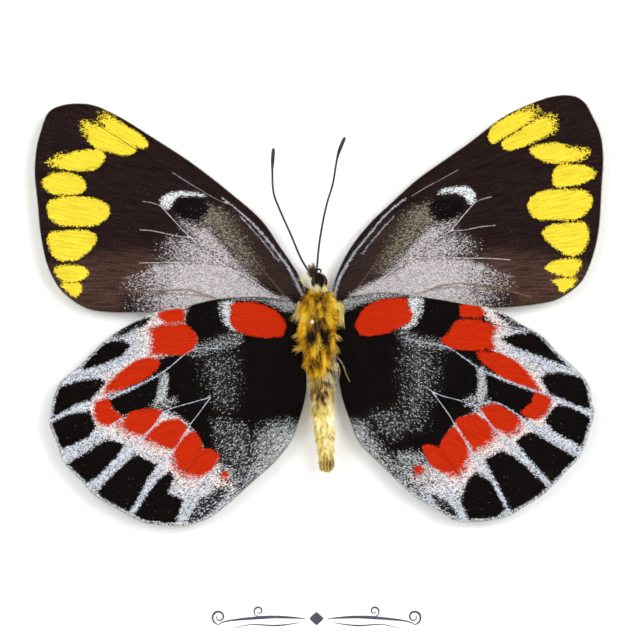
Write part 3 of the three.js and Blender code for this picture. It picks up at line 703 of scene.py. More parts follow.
# The scales themselves: rows of small cells that follow the wing's rays, each scale with its own tone
SCALE_ALONG = 7.2
SCALE_ACROSS = 10.0
FUZZ_MM = 0.30
EDGE_SHARPNESS = 14.0
scale_rows, given = new_group(
    "wing_scale_rows", "ShaderNodeTree", [("Flow", "Vector"), ("Along", "Float"), ("Across", "Float")],
    [(name, "Float") for name in ("Pick", "Tone", "Relief", "Streak")],
)
stretch = scale_rows.add("ShaderNodeCombineXYZ", {"X": given["Along"], "Y": given["Across"], "Z": 0.0})[0]
cell_place = vectors(scale_rows, "MULTIPLY", given["Flow"], stretch)
cells = scale_rows.add("ShaderNodeTexVoronoi", {"Vector": cell_place, "Scale": 1.0})
cell_random = scale_rows.add("ShaderNodeSeparateColor", {"Color": cells["Color"]})
streak_place = vectors(scale_rows, "MULTIPLY", given["Flow"], (0.35, 5.0, 1.0))
streaks = scale_rows.add("ShaderNodeTexNoise", {"Vector": streak_place, "Scale": 1.0, "Detail": 3.0})
scale_rows.add(
    "NodeGroupOutput",
    {"Pick": cell_random["Red"], "Tone": cell_random["Green"], "Relief": cells["Distance"],
     "Streak": streaks["Fac"]},
)


def calc(nodes, operation, first, second=0.0, third=0.0, clamp=False):
    inputs = {0: first, 1: second, 2: third}
    return nodes.add("ShaderNodeMath", inputs, operation=operation, use_clamp=clamp)[0]


def attribute(finish, name, output="Fac"):
    return finish.add("ShaderNodeAttribute", attribute_name=name)[output]


wing_scales = Finish("wing_scales", Roughness=0.75, Specular_IOR_Level=0.0)
scale = wing_scales.add(
    "ShaderNodeGroup",
    {"Flow": attribute(wing_scales, "flow", "Vector"), "Along": SCALE_ALONG, "Across": SCALE_ACROSS},
    node_tree=scale_rows.tree,
)


def masked(operation, first, second=0.0, third=0.0, clamp=False):
    return calc(wing_scales, operation, first, second, third, clamp)


def layer_colour(name, tone):
    return vectors(wing_scales, "SCALE", attribute(wing_scales, name, "Color"), Scale=tone)


wobble = masked("MULTIPLY_ADD", scale["Tone"], FUZZ_MM, -FUZZ_MM / 2)
patch_edge = masked("ADD", attribute(wing_scales, "patch"), wobble)
patch_mask = masked("MULTIPLY_ADD", patch_edge, EDGE_SHARPNESS, 0.5, clamp=True)
pale_share = attribute(wing_scales, "pale_share")
dust_over = masked("SUBTRACT", masked("MULTIPLY", pale_share, 1.06), scale["Pick"])
dust_cells = masked("MULTIPLY", dust_over, 18.0, clamp=True)
dust_haze = masked("MULTIPLY", masked("POWER", pale_share, 1.3), 0.2)
dust_mask = masked("MULTIPLY_ADD", dust_cells, 0.8, dust_haze, clamp=True)
streak_tone = masked("MULTIPLY_ADD", scale["Streak"], 2.6, -0.3)
ground_tone = masked("MULTIPLY", masked("MULTIPLY_ADD", scale["Tone"], 0.55, 0.6), streak_tone)
ground = layer_colour("ground", ground_tone)
dust = layer_colour("dust", masked("MULTIPLY_ADD", scale["Tone"], 0.9, 0.4))
patch = layer_colour("patch_colour", masked("MULTIPLY_ADD", ground_tone, 0.35, 0.62))
line_reach = masked("DIVIDE", attribute(wing_scales, "line_gap"), attribute(wing_scales, "line_half"))
line_grain = masked("MULTIPLY_ADD", scale["Pick"], -1.3, 2.1)
line_core = masked("SUBTRACT", line_grain, line_reach, clamp=True)
line_full = masked("MULTIPLY", line_core, attribute(wing_scales, "line_strength"))
line_mask = masked("MULTIPLY", line_full, masked("MULTIPLY_ADD", patch_mask, -0.5, 1.0))
wing_colour = blend(wing_scales, dust_mask, ground, dust)
wing_colour = blend(wing_scales, patch_mask, wing_colour, patch)
wing_colour = blend(wing_scales, line_mask, wing_colour, attribute(wing_scales, "line_colour", "Color"))
wing_scales.feed("Base Color", wing_colour)
bump(wing_scales, scale["Relief"], 0.25, 0.00006)


def own(piece, slot, *nodes):
    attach(piece, "root")
    if nodes:
        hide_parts(*nodes)


def set_attributes(piece, **layers):
    """Attributes on a piece's points: a number, three numbers for a vector or four for a colour."""
    kinds = {1: ("FLOAT", "value"), 3: ("FLOAT_VECTOR", "vector"), 4: ("FLOAT_COLOR", "color")}
    for name, layer in layers.items():
        layer = np.asarray(layer, dtype=np.float32)
        kind, field = kinds[1 if layer.ndim == 1 else layer.shape[1]]
        piece.data.attributes.new(name, kind, "POINT").data.foreach_set(field, layer.ravel())


def wing_net(rim, routes):
    """Triangles over a wing, with points along its rim and veins: the points, faces and rim points."""
    low, high = rim.min(0), rim.max(0)
    grid = np.array([
        (x + (row % 2) * POINT_SPACING / 2, y)
        for row, y in enumerate(np.arange(low[1], high[1], ROW_SPACING))
        for x in np.arange(low[0], high[0], POINT_SPACING)
    ])
    ring = np.vstack([rim, rim[:1]])
    grid, spine = (
        spots[within(spots, rim) & (near_line(spots, ring, 3.0)[0] > RIM_CLEARANCE)]
        for spots in (grid, np.vstack(routes))
    )
    for route in routes:
        grid = grid[near_line(grid, route, 3.0)[0] > VEIN_CLEARANCE]
    flat = [Vector(p) for p in np.vstack([rim, spine, grid])]
    edges = [(i, (i + 1) % len(rim)) for i in range(len(rim))]
    found, _, faces, origins, _, _ = delaunay_2d_cdt(flat, edges, [], 1, 1e-4)
    place_of = {k: i for i, source in enumerate(origins) for k in source}
    loop = [place_of[i] for i in range(len(rim))]
    return np.array([tuple(p) for p in found]), [list(f) for f in faces], loop


def make_wing(name, outline, mid_y, root_px, lines, painter, markings):
    rim = through(outline + outline[:1], False, RIM_SPACING)[:-1]
    routes = [through(row[4], False, 2.0) for row in lines]
    points, corners, loop = wing_net(rim, routes)
    total = len(points)
    dx, dz = from_root(points, root_px)
    paint = painter(points, lines, *markings)
    vein_gap = np.min([near_line(points, route)[0] for route in routes], axis=0)
    relief = np.exp(-(vein_gap / 1.6) ** 2) - smoothstep(vein_gap / 14)
    y = mid_y(dx, dz) - VEIN_RELIEF * relief
    front, back = place(points, y - WING_THICK / 2), place(points, y + WING_THICK / 2)
    a, b, c = (points[i] for i in corners[0])
    if np.cross(b - a, c - a) > 0:
        corners = [f[::-1] for f in corners]
    back_faces = [[i + total for i in f[::-1]] for f in corners]
    sides = [[a, b, b + total, a + total] for a, b in zip(loop, loop[1:] + loop[:1])]
    directed = {(f[i], f[(i + 1) % 3]) for f in corners for i in range(3)}
    if (loop[0], loop[1]) in directed:
        sides = [f[::-1] for f in sides]
    wing = mesh_piece(name + "_membrane", np.vstack([front, back]), corners + back_faces + sides, wing_scales)
    radius = np.hypot(dx, dz)
    turn_across = np.arctan2(dz, dx * np.sign(dx.sum())) * np.sqrt(radius * 20)
    layers = {"flow": columns(radius, turn_across, 0), "pale_share": paint.density,
              "patch": paint.patch * MM_PER_PX}
    for layer in ("line_gap", "line_half", "line_strength"):
        layers[layer] = getattr(paint, layer)
    for layer in ("ground", "dust", "patch_colour", "line_colour"):
        layers[layer] = np.column_stack([getattr(paint, layer), np.ones(total)])
    set_attributes(wing, **{key: np.concatenate([layer, layer]) for key, layer in layers.items()})
    own(wing, name.split("_")[0], name)


# Each wing: its outline, depth, root in pixels, lines, the function that paints it and what that needs
WINGS = [
    ("forewing_left", FOREWING_LEFT_PX, forewing_y, (304, 300), FOREWING_LEFT_LINES,
     paint_forewing, (YELLOW_LEFT, FOREWING_LEFT_DUST, 0)),
    ("forewing_right", FOREWING_RIGHT_PX, forewing_y, (333, 299), FOREWING_RIGHT_LINES,
     paint_forewing, (YELLOW_RIGHT, FOREWING_RIGHT_DUST, MIRROR_PX)),
    ("hindwing_left", HINDWING_LEFT_PX, hindwing_y, (297.5, 317), HINDWING_LEFT_LINES,
     paint_hindwing, (HINDWING_LEFT_PX, RED_LEFT, PALE_LEFT, WINDOWS_LEFT, HINDWING_LEFT_DUST)),
    ("hindwing_right", HINDWING_RIGHT_PX, hindwing_y, (339, 315), HINDWING_RIGHT_LINES,
     paint_hindwing, (HINDWING_RIGHT_PX, RED_RIGHT, PALE_RIGHT, WINDOWS_RIGHT, HINDWING_RIGHT_DUST)),
]
for wing_row in WINGS:
    make_wing(*wing_row)

# Thorax
# A barrel packed with golden hair in matted locks, with dark gaps between the leg bases and a paler collar
# behind the head. It narrows to the waist. The core below the hair is a lofted barrel with a lumpy skin.
THORAX_PROFILE = [
    (0, 0.3), (0.03, 1.35), (0.1, 2.0), (0.2, 2.4), (0.3, 2.5), (0.4, 2.5), (0.5, 2.45), (0.6, 2.3),
    (0.68, 2.0), (0.76, 1.6), (0.86, 1.45), (0.94, 1.25), (1, 0.5),
]
THORAX_ROUTE = [(319.5, 291, 2.3), (318, 325, 2.3), (317.5, 376.5, 2.6)]
THORAX_CORE = 0.87
THORAX_FLAT = 0.84
THORAX_RINGS = 90
THORAX_SIDES = 72
# Dark gaps and, with a minus, light spots in the fur: strength, place, width and height in pixels
THORAX_SPOTS = [
    (1.2, 317.3, 315, 2.4, 11), (1.5, 325, 335, 4.4, 8.5), (1.1, 311, 336, 3.6, 7.5),
    (-1.1, 318.6, 338, 1.9, 10), (0.4, 323, 310, 2, 3.5), (0.45, 324.5, 320, 2.2, 3), (0.3, 317, 359.5, 4, 4),
    (0.5, 306, 292, 4, 4), (0.4, 332.5, 329, 2, 3), (0.4, 330, 352, 2, 4.5), (0.35, 308, 307, 1.8, 4),
    (0.4, 303, 351, 5, 2), (-0.2, 329, 305, 4.5, 12), (-0.25, 310, 341, 4, 3), (-0.25, 309, 316, 4, 7),
    (-0.4, 317, 290, 3.5, 4), (-0.25, 324, 289, 3, 3), (-0.3, 318, 374, 14, 4), (-0.15, 328, 318, 3.5, 5),
]

# Each hair is a thin tapering blade that leaves the skin along the lay of the fur and bends with it
fur, given = new_group(
    "fur", "GeometryNodeTree",
    [("Geometry", "Geometry"), ("Hairs per mm2", "Float", 60.0), ("Length", "Float", 0.001),
     ("Width", "Float", 0.00003), ("Lift", "Float", 0.4), ("Jitter", "Float", 0.25), ("Seed", "Int", 1),
     ("Keep Skin", "Bool", True), ("Material", "Material")],
    [("Geometry", "Geometry")],
)
BLADE_BEND = -4.0
PER_SQUARE_METRE = 1e6


def fur_attribute(name, kind="FLOAT"):
    return fur.add("GeometryNodeInputNamedAttribute", {"Name": name}, data_type=kind)[0]


def fur_random(low, high, seed):
    return fur.add("FunctionNodeRandomValue", {2: low, 3: high, "Seed": seed}, data_type="FLOAT")[1]


def fur_store(geometry, name, value, domain):
    inputs = {"Geometry": geometry, "Name": name, "Value": value}
    return fur.add("GeometryNodeStoreNamedAttribute", inputs, data_type="FLOAT", domain=domain)[0]


hairs_here = calc(fur, "MULTIPLY", given["Hairs per mm2"], fur_attribute("share"))
density = calc(fur, "MULTIPLY", hairs_here, PER_SQUARE_METRE)
root_inputs = {"Mesh": given["Geometry"], "Density": density, "Seed": given["Seed"]}
roots = fur.add("GeometryNodeDistributePointsOnFaces", root_inputs)
wander_inputs = {0: (-1, -1, -1), 1: (1, 1, 1), "Seed": given["Seed"]}
wander = fur.add("FunctionNodeRandomValue", wander_inputs, data_type="FLOAT_VECTOR")[0]
lift = vectors(fur, "SCALE", roots["Normal"], Scale=given["Lift"])
stray = vectors(fur, "SCALE", wander, Scale=given["Jitter"])
lay = fur_attribute("lay", "FLOAT_VECTOR")
along_skin = vectors(fur, "SUBTRACT", lay, vectors(fur, "PROJECT", lay, roots["Normal"]))
hair_way = vectors(fur, "ADD", vectors(fur, "ADD", along_skin, lift), stray)
first_turn = fur.add("FunctionNodeAlignRotationToVector", {"Vector": roots["Normal"]}, axis="X")[0]
turn_inputs = {"Rotation": first_turn, "Vector": hair_way}
hair_turn = fur.add("FunctionNodeAlignRotationToVector", turn_inputs, axis="Z")[0]
cone_inputs = {"Vertices": 3, "Side Segments": 3, "Radius Top": 0.15, "Radius Bottom": 1.0, "Depth": 1.0}
cone = fur.add("GeometryNodeMeshCone", cone_inputs, fill_type="NONE")["Mesh"]
blade_z = fur.add("ShaderNodeSeparateXYZ", {0: fur.add("GeometryNodeInputPosition")[0]})["Z"]
blade_bend = calc(fur, "MULTIPLY", calc(fur, "MULTIPLY", blade_z, blade_z), BLADE_BEND)
blade_offset = fur.add("ShaderNodeCombineXYZ", {"X": blade_bend})[0]
curved = fur.add("GeometryNodeSetPosition", {"Geometry": cone, "Offset": blade_offset})[0]
blade = fur_store(curved, "tip", blade_z, "POINT")
full_length = calc(fur, "MULTIPLY", given["Length"], fur_attribute("reach"))
hair_length = calc(fur, "MULTIPLY", full_length, fur_random(0.65, 1.25, 7))
hair_size = fur.add("ShaderNodeCombineXYZ", {"X": given["Width"], "Y": given["Width"], "Z": hair_length})[0]
hair_inputs = {"Points": roots["Points"], "Instance": blade, "Rotation": hair_turn, "Scale": hair_size}
hairs = fur.add("GeometryNodeInstanceOnPoints", hair_inputs)[0]
marked = fur_store(hairs, "strand", fur_random(0.0, 1.0, 3), "INSTANCE")
real = fur.add("GeometryNodeRealizeInstances", {"Geometry": marked})[0]
dressed = fur.add("GeometryNodeSetMaterial", {"Geometry": real, "Material": given["Material"]})[0]
skin_inputs = {0: given["Keep Skin"], "True": given["Geometry"]}
skin = fur.add("GeometryNodeSwitch", skin_inputs, input_type="GEOMETRY")[0]
joined = fur.add("GeometryNodeJoinGeometry", {0: dressed})[0]
fur.tree.links.new(skin, joined.node.inputs[0])
fur.add("NodeGroupOutput", {"Geometry": joined})


def grow(piece, finish, seed, hairs, length, width, lift, jitter, skin=None, **layers):
    """Grows fur on a piece, with sizes in millimetres, and keeps the resulting mesh.

    The layers give the hair's lay, tone and reach at each point. The skin stays if its light is given.
    """
    full = np.ones(len(piece.data.vertices))
    if skin is not None:
        layers["tip"] = skin * full
    set_attributes(piece, **{"share": full, "reach": full, **layers})
    values = {
        "Hairs per mm2": hairs, "Length": length * MM, "Width": width * MM, "Lift": lift, "Jitter": jitter,
        "Seed": seed, "Keep Skin": skin is not None, "Material": finish.material,
    }
    modifier = piece.modifiers.new("fur", "NODES")
    modifier.node_group = fur.tree
    for item in fur.tree.interface.items_tree:
        if item.in_out == "INPUT" and item.name in values:
            modifier[item.identifier] = values[item.name]
    mesh = bpy.data.meshes.new_from_object(piece.evaluated_get(bpy.context.evaluated_depsgraph_get()))
    piece.modifiers.remove(modifier)
    piece.data = mesh
    mesh.polygons.foreach_set("use_smooth", [True] * len(mesh.polygons))


def ramp(finish, value, stops):
    """A colour ramp: stops are (position, colour)."""
    colour = finish.add("ShaderNodeValToRGB", {"Fac": value})["Color"]
    elements = colour.node.color_ramp.elements
    elements.remove(elements[0])
    for i, (position, rgb) in enumerate(stops):
        stop = elements.new(position) if i else elements[0]
        stop.position = position
        stop.color = shade(rgb)
    return colour


def remap(finish, value, **limits):
    inputs = {key.replace("_", " "): limit for key, limit in limits.items()}
    return finish.add("ShaderNodeMapRange", {"Value": value, **inputs})[0]


def fur_finish(name, stops, root_shade=0.45, painted_glow=0.15, vary_by=0.3):
    """Hair whose colour comes from the tone of its lock, varied by strand, with painted shade towards the
    root and a faint painted glow of its own colour.
    """
    finish = Finish(name, Roughness=0.6, Specular_IOR_Level=0.15, Emission_Strength=painted_glow)
    varied = calc(finish, "MULTIPLY_ADD", attribute(finish, "strand"), vary_by, attribute(finish, "tone"))
    centred = calc(finish, "SUBTRACT", varied, vary_by / 2)
    light = remap(finish, attribute(finish, "tip"), From_Max=0.5, To_Min=root_shade)
    colour = vectors(finish, "SCALE", ramp(finish, centred, stops), Scale=light)
    finish.feed("Base Color", colour)
    finish.feed("Emission Color", colour)
    return finish


def headings(line):
    way = np.gradient(line, axis=0)
    return way / np.linalg.norm(way, axis=1)[:, None]


def around(sides):
    return 2 * math.pi * np.arange(sides) / sides


def loft_faces(rings, sides, flip=False):
    """Faces around rings of points, closed by one flat face at each end."""
    faces = []
    for i in range(rings - 1):
        for k in range(sides):
            a, d = i * sides + k, i * sides + (k + 1) % sides
            b, c = a + sides, d + sides
            faces.append((a, d, c, b) if flip else (a, b, c, d))
    first, last = tuple(range(sides)), tuple(range((rings - 1) * sides, rings * sides))
    return faces + ([first[::-1], last] if flip else [first, last[::-1]])


def tube_mesh(path, radii, sides, flat=1.0):
    """Rings of points and faces around a path, closed at both ends."""
    along = headings(path)
    across = np.cross(along, (0, 1, 0))
    across /= np.linalg.norm(across, axis=1)[:, None]
    up = np.cross(across, along)
    turn = around(sides)[None, :, None]
    wheel = np.cos(turn) * across[:, None] + flat * np.sin(turn) * up[:, None]
    rings = path[:, None] + wheel * radii[:, None, None]
    return rings.reshape(-1, 3), loft_faces(len(path), sides)


def path_through(rows, count):
    """Evenly spread points, in metres, along a smooth path given as (pixel across, pixel down, y)."""
    rows = np.array(rows, dtype=float)
    smooth = through(place(rows[:, :2], rows[:, 2]), False, 0.1 * MM)
    reach = np.concatenate([[0], np.cumsum(np.linalg.norm(np.diff(smooth, axis=0), axis=1))])
    wanted = np.linspace(0, reach[-1], count)
    return np.column_stack([np.interp(wanted, reach, smooth[:, k]) for k in range(3)])


def pixels(points):
    """View pixels of points given in metres."""
    px = points[:, 0] / MM / MM_PER_PX + VIEW_CENTRE_PX
    py = VIEW_CENTRE_PX - (points[:, 2] / MM - VIEW_CENTRE_Z) / MM_PER_PX
    return np.column_stack([px, py])


def spot(points, x, y, wide, tall):
    """One at the middle of an oval spot given in pixels, falling softly to zero outside it."""
    return np.exp(-((points[:, 0] - x) / wide) ** 2 - ((points[:, 1] - y) / tall) ** 2)


def spots_at(points, rows):
    """The sum of spots, each given by its strength and its oval."""
    return sum(strength * spot(points, *oval) for strength, *oval in rows)


def locks_of(points, size, stretch, seed):
    """Locks of hair on a surface: the way to the middle of each point's lock, and a tone per lock."""
    random = np.random.default_rng(seed)
    scaled = points / MM / size * np.array([1, 1, stretch])
    low, high = scaled.min(0), scaled.max(0)
    count = max(4, int(np.prod(np.maximum(high - low, 1))))
    middles = random.uniform(low, high, (count, 3))
    gaps = np.linalg.norm(scaled[:, None] - middles[None], axis=2)
    nearest = gaps.argmin(axis=1)
    return middles[nearest] - scaled, random.uniform(-1, 1, count)[nearest]


golden_fur = fur_finish("golden_fur", [
    (0.0, (20, 13, 10)), (0.25, (54, 34, 14)), (0.42, (142, 92, 8)), (0.58, (228, 162, 10)),
    (0.8, (255, 208, 24)), (1.0, (255, 228, 96)),
], root_shade=0.36, painted_glow=0.18, vary_by=0.5)
path = path_through(THORAX_ROUTE, THORAX_RINGS)
radii = np.interp(np.linspace(0, 1, THORAX_RINGS), *np.array(THORAX_PROFILE).T) * THORAX_CORE * MM
points, faces = tube_mesh(path, radii, THORAX_SIDES, THORAX_FLAT)
seen_at = pixels(points)
to_lock, lock_tone = locks_of(points, size=0.95, stretch=0.5, seed=11)
outward = np.clip((seen_at[:, 0] - BODY_PX) / 19, -1, 1)
tone = 0.65 + 0.28 * lock_tone - spots_at(seen_at, THORAX_SPOTS)
core_push = 1 - 0.14 * np.clip(np.linalg.norm(to_lock, axis=1) - 0.2, 0, 1)
centres = np.repeat(path, THORAX_SIDES, axis=0)
thorax = mesh_piece("thorax_fur", centres + (points - centres) * core_push[:, None], faces, golden_fur)
grow(
    thorax, golden_fur, seed=5, hairs=66.0, length=0.95, width=0.034, lift=0.42, jitter=0.32, skin=0.05,
    tone=tone,
    lay=columns(0.25 * outward * np.abs(outward), 0, -0.75) + 1.2 * to_lock,
    reach=1.0 - 0.3 * spot(seen_at, 320, 290, 14, 9) - 0.35 * np.abs(outward) ** 3,
)
own(thorax, "thorax_fur", "thorax")

# Abdomen
# Soft ringed segments under short flat pale scales, with greyish and olive hair at the waist, a white
# patch on one side and a blunt brown tip.
ABDOMEN_ROUTE = [(322, 378.5, 2.6), (322.5, 411, 2.6), (325, 440, 2.7), (326.5, 470.5, 2.8)]
ABDOMEN_RADIUS = 1.34
ABDOMEN_TIP_RADIUS = 0.84
ABDOMEN_CORE = 0.97
ABDOMEN_FLAT = 0.95
ABDOMEN_SEGMENTS = 8
ABDOMEN_RINGS = 128
ABDOMEN_SIDES = 56
ABDOMEN_SPOTS = [
    (-0.24, 330, 417, 5, 12), (0.45, 319, 390, 3.5, 12), (0.4, 327, 386, 3, 10), (0.3, 325, 402, 3, 6),
    (0.15, 313, 400, 3, 14),
]
WAIST_MOTTLED_PX = 402
WAIST_GREY_PX = 417
TIP_BROWN_PX = 426
TIP_STREAKED_PX = 455
pale_fur = fur_finish("pale_scales", [
    (0.0, (50, 30, 18)), (0.15, (122, 74, 34)), (0.3, (176, 132, 76)), (0.45, (190, 168, 100)),
    (0.6, (238, 210, 96)), (0.75, (250, 234, 136)), (0.9, (248, 244, 204)), (1.0, (255, 255, 250)),
], root_shade=0.8, painted_glow=0.2, vary_by=0.45)
path = path_through(ABDOMEN_ROUTE, ABDOMEN_RINGS)
share = np.linspace(0, 1, ABDOMEN_RINGS)
ring_phase = (share * ABDOMEN_SEGMENTS) % 1
bulge = 0.95 + 0.05 * np.sin(math.pi * ring_phase) ** 0.5
ends = np.sqrt(np.clip(1 - ((share - 0.5) / 0.5) ** 30, 0.02, 1))
ends *= 1 - 0.12 * smoothstep((0.2 - share) / 0.2)
radii = ABDOMEN_RADIUS + (ABDOMEN_TIP_RADIUS - ABDOMEN_RADIUS) * smoothstep((share - 0.35) / 0.6)
points, faces = tube_mesh(path, radii * bulge * ends * MM * ABDOMEN_CORE, ABDOMEN_SIDES, ABDOMEN_FLAT)
abdomen = mesh_piece("abdomen_scales", points, faces, pale_fur)
seen_at = pixels(points)
across_px, down_px = seen_at.T
to_lock, lock_tone = locks_of(points, size=0.7, stretch=0.7, seed=23)
_, fine_tone = locks_of(points, size=0.3, stretch=0.45, seed=29)
along_share = np.repeat(share, ABDOMEN_SIDES)
tone = 0.8 + 0.1 * lock_tone + 0.24 * fine_tone - 0.14 * (np.repeat(ring_phase, ABDOMEN_SIDES) < 0.14)
tone -= spots_at(seen_at, ABDOMEN_SPOTS)
tone -= 0.17 * smoothstep((WAIST_GREY_PX - down_px) / 6) + 0.12 * smoothstep((down_px - TIP_BROWN_PX) / 8)
tone += (0.28 * fine_tone - 0.13) * smoothstep((WAIST_MOTTLED_PX - down_px) / 8)
tip_streaks = 0.28 + 0.3 * np.sin(2.1 * across_px + 2.2 * lock_tone) + 0.2 * fine_tone
tone -= tip_streaks * smoothstep((down_px - TIP_STREAKED_PX + 5 * lock_tone) / 5)
grow(
    abdomen, pale_fur, seed=9, hairs=70.0, length=0.5, width=0.032, lift=0.3, jitter=0.25, skin=0.3,
    tone=tone,
    lay=columns(0.5 * np.clip((across_px - 322) / 11, -1, 1), 0, -1) + 0.5 * to_lock,
    reach=1 + 0.9 * smoothstep((0.22 - along_share) / 0.2) - 0.2 * smoothstep((along_share - 0.9) / 0.08),
)
own(abdomen, "abdomen_skin", "abdomen")

# Head
# A small barrel covered with dark bristly scales, with paler ones at the collar. A large smooth eye, dark
# red-brown and finely faceted, caps each side.
HEAD_HALF_WIDTH = 1.12
HEAD_RADIUS = 1.05
HEAD_CORE = 0.84
HEAD_CORE_HALF_WIDTH = 0.62
HEAD_CENTRE_PX = (319.3, 281.8)
HEAD_Y = 3.0
HEAD_SPOTS = [(-0.5, 314, 279, 2, 4), (-0.7, 317, 289, 5, 3)]
EYE_START = 0.58
EYE_END = 1.119
EYE_SCALE = 0.93
head_centre = place([HEAD_CENTRE_PX], HEAD_Y)[0]


def head_loft(start, end, rings, sides, scale):
    """Rings of a squat ball about the X axis between two distances from its middle, in millimetres."""
    x = np.linspace(start, end, rings)
    radius = HEAD_RADIUS * np.sqrt(np.clip(1 - (x / HEAD_HALF_WIDTH) ** 2, 0.0004, 1)) * scale
    turn = around(sides)
    points = [columns(a * scale, r * np.cos(turn), r * np.sin(turn)) for a, r in zip(x, radius)]
    return np.vstack(points) * MM + head_centre, loft_faces(rings, sides, flip=True)


def clouded(name, scale, detail, stops, **plain):
    """A material whose colour drifts between a few stops."""
    finish = Finish(name, **plain)
    finish.feed("Base Color", ramp(finish, mottle(finish, scale, detail), stops))
    return finish


dark_fur = fur_finish("dark_bristles", [
    (0.0, (20, 13, 11)), (0.4, (44, 28, 20)), (0.6, (104, 74, 40)), (0.8, (190, 170, 110)),
    (1.0, (232, 226, 190)),
], root_shade=0.6)
points, faces = head_loft(-HEAD_CORE_HALF_WIDTH, HEAD_CORE_HALF_WIDTH, 24, 40, HEAD_CORE)
head = mesh_piece("head_bristles", points, faces, dark_fur)
seen_at = pixels(points)
to_lock, lock_tone = locks_of(points, size=0.4, stretch=1.0, seed=31)
tone = 0.15 + 0.12 * lock_tone - spots_at(seen_at, HEAD_SPOTS)
grow(
    head, dark_fur, seed=13, hairs=120.0, length=0.34, width=0.022, lift=0.7, jitter=0.35, skin=0.1,
    tone=tone,
    lay=columns(0.1 * lock_tone, -0.3, 0.5) + 0.5 * to_lock,
)
own(head, "head_dark", "head")

eye_stops = [(0.3, (26, 10, 9)), (0.55, (66, 22, 17)), (0.7, (44, 16, 13))]
eye_finish = clouded("faceted_eye", 2500.0, 3.0, eye_stops, Roughness=0.22, Coat_Weight=0.4)
eye_place = eye_finish.add("ShaderNodeTexCoord")["Object"]
facets = eye_finish.add("ShaderNodeTexVoronoi", {"Vector": eye_place, "Scale": 16000.0})["Distance"]
bump(eye_finish, facets, 0.3, 0.00002)
for side, sign in (("left", -1), ("right", 1)):
    points, faces = head_loft(EYE_START * sign, EYE_END * sign, 22, 44, EYE_SCALE)
    if sign < 0:
        faces = [f[::-1] for f in faces]
    own(mesh_piece("eye_" + side + "_lens", points, faces, eye_finish), "eye", "eye_" + side)

# Palps, tongue, antennae and legs
# Thin jointed tubes of dark or straw-coloured horn. The tongue is coiled below the head, the antennae are
# ringed with pale scales and end in a thickened club, and the legs lie folded along the body.
ANTENNA_ROUTES = {
    "left": [(312, 277), (307.5, 269.5), (300, 256.5), (290.5, 234), (279, 208), (273.5, 192), (272.4, 170),
             (273.5, 148)],
    "right": [(316, 275), (317.1, 266), (319, 246), (322.5, 224), (327, 203.5), (333, 183), (337.7, 156),
              (345, 137)],
}
ANTENNA_RADIUS = 0.13
CLUB_RADIUS = 0.23
ANTENNA_JOINTS = 46
PALPS = {
    "palp_left": [(312.6, 278, 1.9), (311.2, 272, 2.1), (309.8, 267.5, 2.2)],
    "palp_right": [(315.2, 277, 1.8), (314, 270, 2.0), (313.4, 265.5, 2.1)],
}
TONGUE_TURNS = 1.6
TONGUE_CENTRE_PX = (318.7, 271.6)
# Legs: the tone and the route of each
LEGS = {
    "leg_fore_left": (0.85, [(301.5, 282.5, 2.1), (307, 286.5, 1.5), (312, 290, 0.9)]),
    "leg_fore_right": (0.6, [(328.5, 289, 2.0), (325, 286, 1.5), (322, 288.5, 1.2)]),
    "leg_mid_left": (0.42, [(314.5, 303, 0.7), (316, 316, 0.35), (317.5, 330, 0.35), (317, 345, 0.6)]),
    "leg_mid_right": (0.56, [(336.5, 356, 2.1), (342.5, 364.5, 2.1), (346, 374, 2.3), (349.5, 381, 2.5)]),
    "leg_hind_left": (0.5, [(314.5, 379, 1.5), (317, 389, 1.4), (320, 400, 1.4)]),
    "leg_hind_right": (0.56, [(333, 358, 2.3), (339, 367, 2.2), (339, 377, 2.3), (336.5, 386, 2.4)]),
}
horn = Finish("jointed_horn", Roughness=0.5, Specular_IOR_Level=0.35)
horn_shade = remap(horn, mottle(horn, 4000.0, 2.0), To_Min=-0.12, To_Max=0.12)
horn.feed("Base Color", ramp(horn, calc(horn, "ADD", attribute(horn, "tone"), horn_shade), [
    (0.0, (20, 14, 12)), (0.3, (48, 32, 24)), (0.55, (134, 118, 88)), (0.8, (206, 186, 140)),
    (1.0, (236, 228, 200)),
]))


def horn_piece(name, rows, radius_at, tone_at, slot, node, rings, hairs=0.0, hair_length=0.0):
    """A jointed tube whose radius in millimetres and tone are given by share of its length."""
    sides = 10
    path = path_through(rows, rings)
    along = np.linspace(0, 1, rings)
    piece = mesh_piece(name, *tube_mesh(path, radius_at(along) * MM, sides), horn)
    tone = np.repeat(tone_at(along), sides)
    if hairs:
        grow(
            piece, horn, seed=21, hairs=hairs, length=hair_length, width=0.012, lift=0.45, jitter=0.3,
            skin=0.4, tone=tone, lay=np.repeat(headings(path), sides, axis=0),
        )
    else:
        set_attributes(piece, tone=tone)
    own(piece, slot, node)


def bell(value, middle, width):
    return np.exp(-((value - middle) / width) ** 2)


def antenna_radius(t):
    ringed = ANTENNA_RADIUS * (1 + 0.12 * np.cos(2 * math.pi * ANTENNA_JOINTS * t))
    club = (CLUB_RADIUS - ANTENNA_RADIUS) * smoothstep((t - 0.82) / 0.1)
    return (ringed + club) * np.sqrt(np.clip(1 - ((t - 0.5) / 0.5) ** 40, 0.01, 1))


def antenna_tone(t):
    return 0.1 + 0.28 * (np.cos(2 * math.pi * ANTENNA_JOINTS * t) < -0.75) * (t < 0.8)


